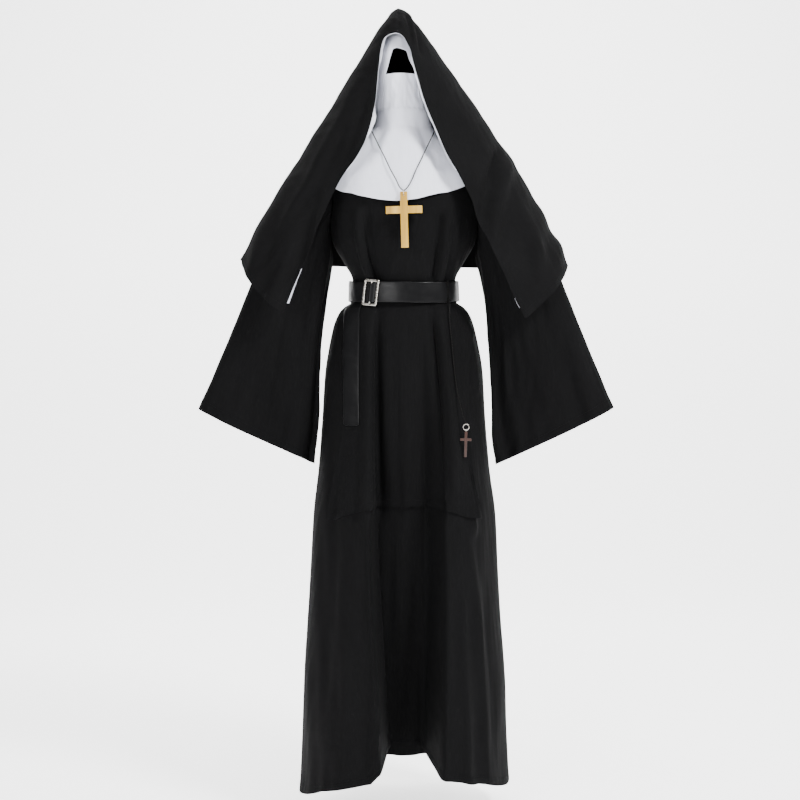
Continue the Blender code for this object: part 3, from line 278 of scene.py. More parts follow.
# Cord tied round the belt, with its small cross
CORD_RADIUS = 0.0013
LOOP_ANGLE = 51.0
LOOP_WIDTH = 0.006
KNOT_RADIUS = 0.0036
BELT_CORD_COLUMNS = ("x", "height", "clear")
BELT_CORD_ROUTE = [(0.0915, 1.036, 0.0075), (0.0924, 1.023, 0.0063), (0.0935, 1.010, 0.0056),
                   (0.0954, 0.990, 0.0054), (0.0975, 0.970, 0.0054), (0.0994, 0.947, 0.0054),
                   (0.1015, 0.924, 0.0055), (0.1035, 0.900, 0.0058), (0.1054, 0.880, 0.0066),
                   (0.1070, 0.865, 0.0076), (0.1085, 0.850, 0.0090), (0.1105, 0.832, 0.0120),
                   (0.1125, 0.815, 0.0150), (0.1145, 0.805, 0.0172), (0.1165, 0.7965, 0.0195)]
RING_RADIUS = 0.0064
RING_WIRE = 0.0008
RING_GAP = 0.0009
RING_TURN = 12.0
EYE_RADIUS = 0.0023
EYE_WIRE = 0.0005
EYE_GAP = 0.0003
BELT_CROSS = (0.024, 0.054, 0.0058, 0.0055, 0.0042)
BELT_ARM_DROP = 0.017
BELT_CROSS_TILT = 2.0

# Necklace
NECKLACE_RADIUS = 0.0011
NECKLACE_COLUMNS = ("angle", "height", "clear")
NECKLACE_ROUTE = [(-1.5, 1.2885, 0.0124), (-2.2, 1.2905, 0.0122), (-3.6, 1.2965, 0.0120),
                  (-5.5, 1.3100, 0.0118), (-10.0, 1.3325, 0.0118), (-17.5, 1.3575, 0.0118),
                  (-29.0, 1.3825, 0.0118), (-48.0, 1.4050, 0.0120), (-65.5, 1.4150, 0.0124),
                  (-90.0, 1.4280, 0.0134), (-125.0, 1.4380, 0.0134), (-180.0, 1.4420, 0.0128),
                  (125.0, 1.4380, 0.0134), (90.0, 1.4280, 0.0134), (58.5, 1.4150, 0.0124),
                  (44.0, 1.4050, 0.0120), (27.0, 1.3825, 0.0118), (16.5, 1.3575, 0.0118),
                  (9.0, 1.3325, 0.0118), (5.5, 1.3100, 0.0118), (3.4, 1.2975, 0.0120),
                  (1.6, 1.2905, 0.0122)]
NECKLACE_POINTS = 64
PENDANT_X = -0.0035
PENDANT_Y = -0.1425
PIVOT_HEIGHT = 1.2881
LINK_RADIUS = 0.0060
LINK_WIRE = 0.0006
LINK_GAP = 0.0004
PENDANT_CROSS = (0.077, 0.118, 0.0155, 0.0155, 0.0055)
PENDANT_ARM_DROP = 0.038
PENDANT_HOLE = 0.0072
PENDANT_BORE = 0.0015
PENDANT_TILT = -1.5

BLACK = (0.012, 0.012, 0.013)


def table(columns, rows):
    """A dictionary of arrays, one for each named column."""
    return {name: np.array([row[i] for row in rows], float) for i, name in enumerate(columns)}


def smooth(value):
    value = np.clip(value, 0.0, 1.0)
    return value * value * (3.0 - 2.0 * value)


def curve(knots, values, at):
    """Smooth curve through the given knots that never overshoots them."""
    order = np.argsort(knots)
    knots = np.asarray(knots, float)[order]
    values = np.asarray(values, float)[order]
    slopes = np.diff(values) / np.diff(knots)
    tangents = np.zeros(len(knots))
    both = slopes[:-1] * slopes[1:]
    total = slopes[:-1] + slopes[1:]
    safe = np.where(both > 0.0, total, 1.0)
    tangents[1:-1] = np.where(both > 0.0, 2.0 * both / safe, 0.0)
    tangents[0] = slopes[0]
    tangents[-1] = slopes[-1]
    at = np.clip(at, knots[0], knots[-1])
    left = np.clip(np.searchsorted(knots, at, side="right") - 1, 0, len(knots) - 2)
    run = knots[left + 1] - knots[left]
    part = (at - knots[left]) / run
    rest = 1.0 - part
    return (values[left] * (1.0 + 2.0 * part) * rest ** 2 + tangents[left] * run * part * rest ** 2
            + values[left + 1] * part ** 2 * (3.0 - 2.0 * part)
            - tangents[left + 1] * run * part ** 2 * rest)


BODY = table(BODY_COLUMNS, BODY_ROWS)
VALLEY = table(VALLEY_COLUMNS, VALLEY_ROWS)
SCAPULAR = table(SCAPULAR_COLUMNS, SCAPULAR_ROWS)
HEM = table(HEM_COLUMNS, HEM_ROWS)
VEIL = table(VEIL_COLUMNS, VEIL_ROWS)
COIF = table(VEIL_COLUMNS, COIF_ROWS)


def body(name, height):
    return curve(BODY["front"], BODY[name], height)


def figure(height, angle):
    """Point of the plain body surface for a front height and an angle."""
    height, angle = np.broadcast_arrays(np.asarray(height, float), np.asarray(angle, float))
    turn = np.radians(angle)
    in_front = np.cos(turn) >= 0.0
    depth = np.where(in_front, body("front_depth", height), body("back_depth", height))
    end = np.where(in_front, height, body("back", height))
    side = body("side", height)
    off_side = np.abs(90.0 - np.abs((angle + 180.0) % 360.0 - 180.0))
    level = side + (end - side) * smooth(off_side / SHOULDER_TURN)
    across = body("half_width", height) * np.sin(turn)
    return np.stack([across, -depth * np.cos(turn), level], axis=-1)


def lobe(value, centre, reach):
    """Rounded ridge of height 1 at the centre, gone beyond the reach."""
    return smooth(1.0 - np.abs(value - centre) / reach)


def robe_point(height, angle):
    """Point of the draped robe: the body with its folds, lifted hem and forward sway."""
    height, angle = np.broadcast_arrays(np.asarray(height, float), np.asarray(angle, float))
    point = figure(height, angle).copy()
    in_front = np.cos(np.radians(angle)) >= 0.0
    width = body("half_width", height)
    across = point[..., 0] / width
    left = curve(VALLEY["height"], VALLEY["left"], height)
    right = curve(VALLEY["height"], VALLEY["right"], height)
    depth = curve(VALLEY["height"], VALLEY["depth"], height)
    inside = (smooth((point[..., 0] - left) / LEFT_WALL_RUN + 0.5)
              * smooth((right - point[..., 0]) / RIGHT_WALL_RUN + 0.5))
    point[..., 1] += np.where(in_front, depth * inside, 0.0)
    below = np.clip(1.0 - height / FOLDS_FROM, 0.0, 1.0)
    ridge_at, ridge_reach, ridge_height = RIGHT_RIDGE
    ridge = ridge_height * below * lobe(across, ridge_at, ridge_reach)
    point[..., 1] -= np.where(in_front, ridge, 0.0)
    round_turn = angle % 360.0
    for centre, reach, size in BACK_FOLDS:
        point[..., 1] -= size * below * lobe(round_turn, centre, reach)
    point[..., 1] -= LEFT_FORWARD * below * (1.0 - across) / 2.0
    low = np.clip(1.0 - height / HEM_LIFT_FROM, 0.0, 1.0) ** 2
    front_lift = np.interp(across, HEM["across"], HEM["lift"])
    back_lift = 0.006 + 0.004 * np.abs(np.cos(np.radians(angle)))
    side_share = np.where(across < 0.0, smooth(np.abs(np.cos(np.radians(angle))) * 2.0), 1.0)
    point[..., 2] += low * np.where(in_front, front_lift, back_lift * side_share)
    point[..., 0] += BODY_SHIFT * smooth(height / 0.4)
    return point

def spread(knots, parts):
    """Values from knot to knot, each stretch cut into its number of parts."""
    values = [knots[0]]
    for start, end, count in zip(knots[:-1], knots[1:], parts):
        values += [start + (end - start) * (i + 1) / count for i in range(count)]
    return values




def armhole_cut(height):
    share = (SHOULDER_ROW - height) / (SHOULDER_ROW - ARMPIT_ROW)
    return ARMHOLE_CUT * math.sin(math.pi * share) if 0.0 < share < 1.0 else 0.0


def armhole_rows():
    drop = SHOULDER_ROW - ARMPIT_ROW
    steps = range(ARMHOLE_STEPS + 1)
    return [SHOULDER_ROW - drop * (1.0 - math.cos(math.pi * i / ARMHOLE_STEPS)) / 2.0
            for i in steps]


def at_angle(x, height):
    share = float(x / body("half_width", height))
    return math.degrees(math.asin(max(-0.98, min(0.98, share))))


def section_point(sections, height, angle):
    """Point of a hood on its sections."""
    turn = np.radians(angle)
    centre = curve(sections["height"], sections["centre"], height)
    width = curve(sections["height"], sections["half_width"], height)
    front = curve(sections["height"], sections["front_depth"], height)
    back = curve(sections["height"], sections["back_depth"], height)
    depth = np.where(np.cos(turn) >= 0.0, front, back)
    return np.stack([centre + width * np.sin(turn), -depth * np.cos(turn),
                     height + 0.0 * turn], axis=-1)


def edge_angle(sections, x, height):
    centre = float(curve(sections["height"], sections["centre"], height))
    width = float(curve(sections["height"], sections["half_width"], height))
    return math.degrees(math.asin(max(-0.999, min(0.999, (x - centre) / width))))


def hood_grid(sections, edge, front_rows, seam_row, hem, parts, strip):
    """Rows from the crown down; closed above the seam row and open in front below it.

    Columns run from the front edge at +X round the back to the front edge at -X.
    """
    top = front_rows[0]
    bottom = front_rows[-1]
    points = []
    for i, level in enumerate(front_rows):
        asked = min(level, edge["height"][0])
        if i <= seam_row:
            middle = float(edge["left"][0])
            start = edge_angle(sections, middle, edge["height"][0])
            finish = start
        else:
            start = edge_angle(sections, float(curve(edge["height"], edge["right"], asked)), asked)
            finish = edge_angle(sections, float(curve(edge["height"], edge["left"], asked)), asked)
        width = max(float(curve(sections["height"], sections["half_width"], level)), 0.02)
        band = min(math.degrees(strip / width), 30.0) if strip > 0.0 else 12.0
        knots = [start, start + band, 90.0, 180.0, 270.0, 360.0 + finish - band, 360.0 + finish]
        angle = np.array(spread(knots, parts))
        signed = (angle + 180.0) % 360.0 - 180.0
        signed = np.where(angle == 180.0, 180.0, signed)
        low = np.interp(signed, hem["angle"], hem["level"])
        height = top - (top - level) * (top - low) / (top - bottom)
        points.append(section_point(sections, height, angle))
    return np.array(points)


def belt_frame(angle, row):
    """Point of the robe at the belt, its outward direction and its direction round the body."""
    before = figure(row, angle - 0.5)
    after = figure(row, angle + 0.5)
    along = after - before
    along[..., 2] = 0.0
    along = along / np.linalg.norm(along, axis=-1, keepdims=True)
    out = np.stack([along[..., 1], -along[..., 0], 0.0 * along[..., 0]], axis=-1)
    point = figure(row, angle) + np.array([BODY_SHIFT, 0.0, 0.0])
    return point, out, along


def smooth_route(route, count, closed):
    """Evenly spaced points on a smooth curve through the route."""
    route = np.array(route, float)
    ahead = len(route) if closed else len(route) - 1
    fine = []
    for i in range(ahead):
        if closed:
            a, b, c, d = (route[(i + k) % len(route)] for k in (-1, 0, 1, 2))
        else:
            b = route[i]
            c = route[i + 1]
            a = route[i - 1] if i > 0 else 2.0 * b - c
            d = route[i + 2] if i + 2 < len(route) else 2.0 * c - b
        for step in range(24):
            t = step / 24.0
            fine.append(0.5 * (2.0 * b + (c - a) * t + (2.0 * a - 5.0 * b + 4.0 * c - d) * t * t
                               + (3.0 * b - 3.0 * c + d - a) * t ** 3))
    fine.append(route[0] if closed else route[-1])
    fine = np.array(fine)
    steps = np.linalg.norm(np.diff(fine, axis=0), axis=1)
    run = np.concatenate([[0.0], np.cumsum(steps)])
    places = np.linspace(0.0, run[-1], count + 1 if closed else count)
    if closed:
        places = places[:-1]
    return np.stack([np.interp(places, run, fine[:, k]) for k in range(3)], axis=1)


def front_at(x, height, clear):
    """Point in front of the robe at a place across, as far out as asked."""
    angle = at_angle(x - BODY_SHIFT, height)
    before = robe_point(height, angle - 1.0)
    after = robe_point(height, angle + 1.0)
    along = after - before
    out = np.array([along[1], -along[0], 0.0])
    out = out / np.linalg.norm(out)
    return robe_point(height, angle) + out * clear




FOLD_STRENGTH = 1.7

# Small folds of the front: where each starts and ends, its bow, half width and height in metres
CREASE_COLUMNS = ("x_top", "z_top", "x_low", "z_low", "bow", "wide_top", "wide_low", "high_top",
                  "high_low")
FRONT_CREASES = table(CREASE_COLUMNS, [
    (-0.1000, 1.262, -0.0680, 1.095, -0.010, 0.010, 0.007, 0.0036, 0.0044),
    (-0.0830, 1.255, -0.0565, 1.092, -0.010, 0.013, 0.007, -0.0052, -0.0072),
    (-0.0300, 1.210, -0.0340, 1.105, 0.000, 0.022, 0.016, 0.0016, 0.0012),
    (0.0750, 1.262, 0.0600, 1.095, 0.003, 0.011, 0.007, -0.0052, -0.0080),
    (0.0900, 1.255, 0.0720, 1.098, 0.004, 0.009, 0.008, 0.0036, 0.0044),
    (0.1130, 1.240, 0.0960, 1.100, 0.003, 0.010, 0.008, 0.0018, 0.0020),
    (0.1020, 1.240, 0.0850, 1.100, 0.003, 0.008, 0.006, -0.0020, -0.0020),
    (-0.1220, 1.230, -0.0900, 1.100, -0.002, 0.010, 0.008, -0.0022, -0.0020),
    (-0.0800, 1.050, -0.0790, 0.600, 0.000, 0.010, 0.014, 0.0024, 0.0046),
    (-0.0600, 1.052, -0.0540, 0.600, 0.000, 0.007, 0.012, -0.0044, -0.0062),
    (0.0560, 1.062, 0.0820, 0.620, 0.002, 0.008, 0.015, -0.0074, -0.0096),
    (0.0720, 1.057, 0.1060, 0.640, 0.003, 0.008, 0.013, 0.0046, 0.0056),
    (0.1290, 1.030, 0.1560, 0.860, 0.006, 0.007, 0.008, 0.0026, 0.0036),
    (0.1160, 0.730, 0.1450, 0.560, 0.002, 0.008, 0.010, 0.0016, 0.0060),
    (0.1330, 0.575, 0.1780, 0.010, 0.006, 0.009, 0.012, 0.0050, 0.0040),
    (0.1160, 0.600, 0.1560, 0.020, 0.006, 0.012, 0.016, -0.0020, -0.0034),
    (-0.1180, 0.600, -0.1330, 0.060, 0.004, 0.018, 0.026, 0.0024, 0.0036),
    (-0.1480, 0.900, -0.1720, 0.200, 0.003, 0.012, 0.018, -0.0026, -0.0034),
    (-0.0900, 0.560, -0.0880, 0.050, 0.003, 0.014, 0.020, -0.0014, -0.0026),
    (0.0000, 1.000, -0.0050, 0.300, 0.006, 0.014, 0.020, 0.0014, 0.0040),
    (0.0220, 0.700, 0.0160, 0.150, -0.004, 0.012, 0.018, -0.0020, -0.0040),
    (0.1900, 0.800, 0.2120, 0.150, 0.003, 0.012, 0.018, 0.0020, 0.0030),
])
BACK_CREASES = table(CREASE_COLUMNS, [
    (-0.0400, 1.160, -0.0280, 1.095, 0.002, 0.012, 0.009, 0.0020, 0.0034),
    (-0.0220, 1.170, -0.0140, 1.095, 0.002, 0.011, 0.007, -0.0020, -0.0036),
    (0.0350, 1.180, 0.0240, 1.095, -0.002, 0.012, 0.009, 0.0022, 0.0034),
    (0.0560, 1.170, 0.0430, 1.095, -0.002, 0.011, 0.007, -0.0020, -0.0034),
    (-0.0420, 1.050, -0.0620, 0.560, 0.004, 0.010, 0.022, 0.0026, 0.0046),
    (-0.0150, 1.050, -0.0250, 0.600, 0.002, 0.009, 0.018, -0.0026, -0.0040),
    (0.0320, 1.050, 0.0480, 0.560, -0.004, 0.010, 0.020, 0.0024, 0.0046),
    (0.0700, 1.050, 0.0960, 0.600, -0.003, 0.009, 0.016, -0.0024, -0.0036),
    (-0.0900, 1.040, -0.1240, 0.500, 0.004, 0.010, 0.020, -0.0022, -0.0036),
    (-0.1000, 0.560, -0.1100, 0.020, 0.004, 0.020, 0.026, 0.0030, 0.0060),
    (0.0150, 0.560, 0.0100, 0.020, 0.004, 0.018, 0.024, -0.0030, -0.0050),
    (0.1150, 0.560, 0.1300, 0.020, -0.004, 0.020, 0.026, 0.0034, 0.0056),
    (-0.1650, 0.800, -0.1850, 0.100, 0.004, 0.016, 0.022, -0.0026, -0.0040),
    (0.1600, 0.800, 0.1850, 0.100, 0.004, 0.016, 0.022, 0.0026, 0.0040),
])
VEIL_FRONT_CREASES = table(CREASE_COLUMNS, [
    (0.0060, 1.700, 0.0230, 1.600, 0.004, 0.0040, 0.0055, 0.0032, 0.0026),
    (0.0000, 1.695, 0.0130, 1.610, 0.004, 0.0035, 0.0045, -0.0024, -0.0020),
    (0.0150, 1.690, 0.0340, 1.590, 0.004, 0.0045, 0.0065, -0.0020, -0.0020),
    (-0.0150, 1.706, -0.0140, 1.650, 0.001, 0.0035, 0.0040, -0.0020, -0.0018),
    (0.0140, 1.680, 0.0560, 1.500, 0.006, 0.0060, 0.0160, -0.0018, -0.0020),
    (0.2050, 1.390, 0.1580, 1.210, -0.004, 0.008, 0.016, -0.0100, -0.0030),
    (0.2280, 1.370, 0.1850, 1.180, -0.004, 0.012, 0.020, 0.0070, 0.0040),
    (0.2500, 1.270, 0.3050, 1.080, 0.006, 0.014, 0.022, 0.0030, 0.0060),
    (0.2650, 1.180, 0.2580, 1.050, 0.003, 0.012, 0.016, -0.0030, -0.0050),
    (-0.1450, 1.460, -0.3000, 1.130, 0.010, 0.014, 0.022, 0.0020, 0.0070),
    (-0.1750, 1.330, -0.3220, 1.120, 0.004, 0.010, 0.016, -0.0020, -0.0060),
    (-0.1900, 1.310, -0.2900, 1.060, 0.008, 0.012, 0.018, 0.0030, 0.0060),
    (-0.1300, 1.440, -0.2350, 1.120, -0.010, 0.014, 0.018, -0.0030, -0.0060),
    (-0.0900, 1.560, -0.1900, 1.300, -0.006, 0.012, 0.020, 0.0016, 0.0030),
    (-0.0800, 1.500, -0.1250, 1.350, -0.004, 0.010, 0.014, -0.0030, -0.0030),
])
VEIL_BACK_CREASES = table(CREASE_COLUMNS, [
    (-0.0100, 1.640, -0.0200, 1.180, 0.006, 0.012, 0.030, 0.0020, 0.0050),
    (0.0400, 1.600, 0.0900, 1.180, 0.006, 0.014, 0.028, -0.0020, -0.0050),
    (-0.0600, 1.580, -0.1500, 1.170, -0.006, 0.014, 0.030, -0.0020, -0.0056),
    (0.1100, 1.500, 0.2200, 1.170, 0.006, 0.016, 0.030, 0.0020, 0.0060),
    (-0.1250, 1.480, -0.2600, 1.170, 0.006, 0.016, 0.028, 0.0024, 0.0050),
])
# Sleeve folds: place round the tube in degrees from the outer edge (front side positive),
# start and end as shares of the length, half width in degrees, height
SLEEVE_FOLD_COLUMNS = ("turn_top", "turn_low", "from", "to", "wide", "high")
RIGHT_SLEEVE_FOLDS = table(SLEEVE_FOLD_COLUMNS, [
    (148.0, 141.0, 0.10, 1.02, 13.0, -0.0130), (120.0, 122.0, 0.20, 1.02, 15.0, 0.0060),
    (58.0, 65.0, 0.42, 1.02, 12.0, -0.0110), (44.0, 47.0, 0.40, 1.02, 12.0, 0.0050),
    (88.0, 94.0, 0.30, 0.90, 16.0, 0.0040), (-60.0, -64.0, 0.30, 1.02, 15.0, -0.0090),
    (-125.0, -130.0, 0.12, 1.02, 15.0, -0.0110), (-95.0, -97.0, 0.22, 1.02, 16.0, 0.0060)])
LEFT_SLEEVE_FOLDS = table(SLEEVE_FOLD_COLUMNS, [
    (98.0, 106.0, 0.26, 0.98, 14.0, -0.0100), (130.0, 131.0, 0.20, 1.02, 14.0, 0.0060),
    (160.0, 158.0, 0.06, 1.02, 11.0, -0.0110), (70.0, 74.0, 0.24, 1.02, 18.0, 0.0050),
    (-70.0, -66.0, 0.30, 1.02, 15.0, -0.0090), (-120.0, -118.0, 0.15, 1.02, 15.0, -0.0100),
    (-95.0, -92.0, 0.20, 1.02, 15.0, 0.0060)])
BIB_FOLDS = [(-58.0, -66.0, 9.0, 0.0020), (-40.0, -47.0, 8.0, -0.0026), (-22.0, -30.0, 7.0, 0.0022),
             (-4.0, -8.0, 7.0, -0.0014), (14.0, 18.0, 7.0, 0.0020), (30.0, 34.0, 8.0, -0.0034),
             (50.0, 58.0, 9.0, 0.0026), (95.0, 100.0, 14.0, -0.0016), (150.0, 154.0, 15.0, -0.0016),
             (-110.0, -112.0, 14.0, -0.0016), (-160.0, -163.0, 14.0, 0.0012)]


def ripple(across, down, seed, wave_across, wave_down, count=14):
    """Uneven waves over two lengths in metres, about 1 high, the same at every run."""
    choice = np.random.default_rng(seed)
    total = np.zeros(np.broadcast(across, down).shape)
    for _ in range(count):
        along = choice.normal() / wave_across
        drop = choice.normal() / wave_down
        total = total + np.sin(2.0 * math.pi * (across * along + down * drop)
                               + choice.uniform(0.0, 2.0 * math.pi))
    return total / math.sqrt(count)


def creases(folds, x, z):
    """Sum of the table's soft ridges and troughs at places seen from the front."""
    total = np.zeros(np.broadcast(x, z).shape)
    for i in range(len(folds["x_top"])):
        top = folds["z_top"][i]
        low = folds["z_low"][i]
        part = (top - z) / (top - low)
        inside = smooth((part + 0.08) / 0.30) * smooth((1.10 - part) / 0.22)
        part = np.clip(part, 0.0, 1.0)
        centre = (folds["x_top"][i] * (1.0 - part) + folds["x_low"][i] * part
                  + folds["bow"][i] * np.sin(math.pi * part))
        wide = folds["wide_top"][i] * (1.0 - part) + folds["wide_low"][i] * part
        high = FOLD_STRENGTH * (folds["high_top"][i] * (1.0 - part) + folds["high_low"][i] * part)
        total = total + high * inside * np.exp(-((x - centre) / wide) ** 2)
    return total


def grid_directions(points, wrap=False, weld=0):
    """Unit normals of a grid of points by rows and columns."""
    down = np.gradient(points, axis=0)
    if wrap:
        around = np.roll(points, -1, axis=1) - np.roll(points, 1, axis=1)
    else:
        around = np.gradient(points, axis=1)
        if weld:
            joined = points[:weld + 1, 1] - points[:weld + 1, -2]
            around[:weld + 1, 0] = joined
            around[:weld + 1, -1] = joined
    normal = np.cross(around, down)
    length = np.linalg.norm(normal, axis=-1, keepdims=True)
    return normal / np.where(length > 1e-12, length, 1.0)


def lay_of(points):
    """Metres across and down the cloth at each grid point."""
    across = np.zeros(points.shape[:2])
    across[:, 1:] = np.cumsum(np.linalg.norm(np.diff(points, axis=1), axis=-1), axis=1)
    across -= across.mean(axis=1, keepdims=True)
    down = np.zeros(points.shape[:2])
    down[1:, :] = np.cumsum(np.linalg.norm(np.diff(points, axis=0), axis=-1), axis=0)
    return np.stack([across, down, np.zeros_like(across)], axis=-1)


def put_mesh(name, points, faces, finish, body, lay=None, crease=50.0):
    """Object in the part's frame from points whose heights are above the hem."""
    points = np.asarray(points, float) - np.array([0.0, 0.0, HELD_HEIGHT])
    mesh = bpy.data.meshes.new(name)
    mesh.from_pydata(points.tolist(), [], faces)
    mesh.update()
    made = bmesh.new()
    made.from_mesh(mesh)
    if made.calc_volume(signed=True) < 0.0:
        bmesh.ops.reverse_faces(made, faces=made.faces[:])
        made.to_mesh(mesh)
    made.free()
    mesh.shade_smooth()
    mesh.set_sharp_from_angle(angle=math.radians(crease))
    if lay is not None:
        held = mesh.attributes.new("lay", "FLOAT_VECTOR", "POINT")
        held.data.foreach_set("vector", np.asarray(lay, np.float32).ravel())
    mesh.materials.append(finish)
    piece = bpy.data.objects.new(name, mesh)
    bpy.context.scene.collection.objects.link(piece)
    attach(piece, body)
    return piece


def skin(name, points, outer, inner, finish, wrap=False, weld=0, pole=False, cells=None,
         body="costume", normals=None):
    """Thin closed cloth between two offsets of a grid of points."""
    rows, columns = points.shape[:2]
    if normals is None:
        normals = grid_directions(points, wrap, weld)
    if pole:
        normals[0] = np.array([0.0, 0.0, 1.0])
    away = points - points.reshape(-1, 3).mean(axis=0)
    away[..., 2] = 0.0
    if not pole and np.sum(away * normals) < 0.0 or pole and np.sum((away * normals)[2:]) < 0.0:
        normals = -normals
        if pole:
            normals[0] = np.array([0.0, 0.0, 1.0])
    index = np.arange(rows * columns).reshape(rows, columns)
    if weld:
        index[:weld + 1, -1] = index[:weld + 1, 0]
    if pole:
        index[0, :] = index[0, 0]
    if wrap:
        index = np.concatenate([index, index[:, :1]], axis=1)
    if cells is None:
        cells = np.ones((rows - 1, index.shape[1] - 1), bool)
    quads = np.stack([index[:-1, :-1][cells], index[1:, :-1][cells], index[1:, 1:][cells],
                      index[:-1, 1:][cells]], axis=1)
    used = np.unique(quads)
    place = np.full(rows * columns, -1)
    place[used] = np.arange(len(used))
    quads = place[quads]
    starts = quads.ravel()
    ends = np.roll(quads, -1, axis=1).ravel()
    real = starts != ends
    starts, ends = starts[real], ends[real]
    key = np.minimum(starts, ends) * len(used) + np.maximum(starts, ends)
    _, first, count = np.unique(key, return_index=True, return_counts=True)
    rim = first[count == 1]
    flat = points.reshape(-1, 3)[used]
    normal = normals.reshape(-1, 3)[used]
    outer = np.broadcast_to(outer, (rows, columns)).reshape(-1)[used]
    inner = np.broadcast_to(inner, (rows, columns)).reshape(-1)[used]
    both = np.concatenate([flat + normal * outer[:, None], flat + normal * inner[:, None]])
    faces = [list(dict.fromkeys(quad)) for quad in quads.tolist()]
    faces += [[n + len(used) for n in reversed(face)] for face in faces]
    for start, end in zip(starts[rim].tolist(), ends[rim].tolist()):
        faces.append([end, start, start + len(used), end + len(used)])
    lay = lay_of(points).reshape(-1, 3)[used]
    return put_mesh(name, both, faces, finish, body, np.concatenate([lay, lay]))


def hem_ledge(distance, width, rise=0.0006):
    """Extra thickness of a turned hem, with the trough its stitches pull."""
    edge = width - distance
    return (rise * smooth(edge / 0.0020 + 0.5)
            - 0.0005 * np.exp(-((distance - width + 0.0018) / 0.0012) ** 2))


def stitches(name, line, out, finish, pitch=0.0036, length=0.0026, thick=0.00032, body="costume"):
    """Row of thread stitches lying on a line of points, each a small closed spindle."""
    line = np.asarray(line, float)
    out = np.asarray(out, float)
    steps = np.linalg.norm(np.diff(line, axis=0), axis=1)
    run = np.concatenate([[0.0], np.cumsum(steps)])
    middles = np.arange(pitch, run[-1] - pitch, pitch)
    points = []
    faces = []
    sides = 6

    def at(values, where):
        return np.array([np.interp(where, run, values[:, k]) for k in range(3)])

    for middle in middles:
        start = at(line, middle - length / 2)
        end = at(line, middle + length / 2)
        normal = at(out, middle)
        normal = normal / np.linalg.norm(normal)
        along = (end - start) / np.linalg.norm(end - start)
        side = np.cross(along, normal)
        base = len(points)
        points.append(start)
        for share in (0.22, 0.78):
            centre = start + (end - start) * share + normal * thick * 0.6
            for j in range(sides):
                turn = 2.0 * math.pi * j / sides
                points.append(centre + (side * math.cos(turn) + normal * math.sin(turn)) * thick)
        points.append(end)
        last = base + 2 * sides + 1
        for j in range(sides):
            k = (j + 1) % sides
            faces.append([base, base + 1 + j, base + 1 + k])
            faces.append([base + 1 + j, base + 1 + sides + j, base + 1 + sides + k, base + 1 + k])
            faces.append([base + 1 + sides + j, last, base + 1 + sides + k])
    lay = np.zeros((len(points), 3))
    return put_mesh(name, points, faces, finish, body, lay, crease=80.0)


# Materials
class Finish:
    """Principled material whose nodes are added one by one."""

    def __init__(self, name, roughness, sheen=0.0, sheen_roughness=0.5, metallic=0.0, level=0.5,
                 coat=0.0, coat_roughness=0.2, sheen_tint=(1.0, 1.0, 1.0), bend=1.45):
        self.made = bpy.data.materials.new(name)
        self.made.use_nodes = True
        self.nodes = self.made.node_tree.nodes
        self.links = self.made.node_tree.links
        self.shader = self.nodes["Principled BSDF"]
        self.shader.inputs["Roughness"].default_value = roughness
        self.shader.inputs["Sheen Weight"].default_value = sheen
        self.shader.inputs["Sheen Roughness"].default_value = sheen_roughness
        self.shader.inputs["Sheen Tint"].default_value = (*sheen_tint, 1.0)
        self.shader.inputs["Metallic"].default_value = metallic
        self.shader.inputs["Specular IOR Level"].default_value = level
        self.shader.inputs["Coat Weight"].default_value = coat
        self.shader.inputs["IOR"].default_value = bend
        self.shader.inputs["Coat Roughness"].default_value = coat_roughness

    def add(self, kind, **values):
        node = self.nodes.new(kind)
        for name, value in values.items():
            setattr(node, name, value)
        return node

    def math(self, operation, first, second=None):
        node = self.add("ShaderNodeMath", operation=operation)
        for socket, value in zip(node.inputs, (first, second)):
            if value is None:
                continue
            if isinstance(value, (int, float)):
                socket.default_value = value
            else:
                self.links.new(value, socket)
        return node.outputs[0]

    def lay(self):
        node = self.add("ShaderNodeAttribute", attribute_name="lay")
        split = self.add("ShaderNodeSeparateXYZ")
        self.links.new(node.outputs["Vector"], split.inputs[0])
        return node.outputs["Vector"], split.outputs[0], split.outputs[1]

    def noise(self, vector, scale, detail=3.0, stretch=None):
        if stretch is not None:
            mapping = self.add("ShaderNodeMapping")
            mapping.inputs["Scale"].default_value = stretch
            self.links.new(vector, mapping.inputs["Vector"])
            vector = mapping.outputs[0]
        node = self.add("ShaderNodeTexNoise")
        node.inputs["Scale"].default_value = scale
        node.inputs["Detail"].default_value = detail
        self.links.new(vector, node.inputs["Vector"])
        return node.outputs[0]

    def ramp(self, value, stops):
        node = self.add("ShaderNodeValToRGB")
        ramp = node.color_ramp
        ramp.elements[0].position = stops[0][0]
        ramp.elements[0].color = (*stops[0][1], 1.0)
        ramp.elements[1].position = stops[-1][0]
        ramp.elements[1].color = (*stops[-1][1], 1.0)
        for place, colour in stops[1:-1]:
            ramp.elements.new(place).color = (*colour, 1.0)
        self.links.new(value, node.inputs[0])
        return node.outputs[0]

    def spread(self, value, low, high):
        node = self.add("ShaderNodeMapRange")
        node.inputs["From Min"].default_value = 0.3
        node.inputs["From Max"].default_value = 0.7
        node.inputs["To Min"].default_value = low
        node.inputs["To Max"].default_value = high
        self.links.new(value, node.inputs["Value"])
        return node.outputs[0]

    def colour(self, socket):
        self.links.new(socket, self.shader.inputs["Base Color"])

    def rough(self, value, low, high):
        self.links.new(self.spread(value, low, high), self.shader.inputs["Roughness"])

    def bump(self, height, distance, strength=1.0):
        node = self.add("ShaderNodeBump")
        node.inputs["Strength"].default_value = strength
        node.inputs["Distance"].default_value = distance
        self.links.new(height, node.inputs["Height"])
        self.links.new(node.outputs[0], self.shader.inputs["Normal"])


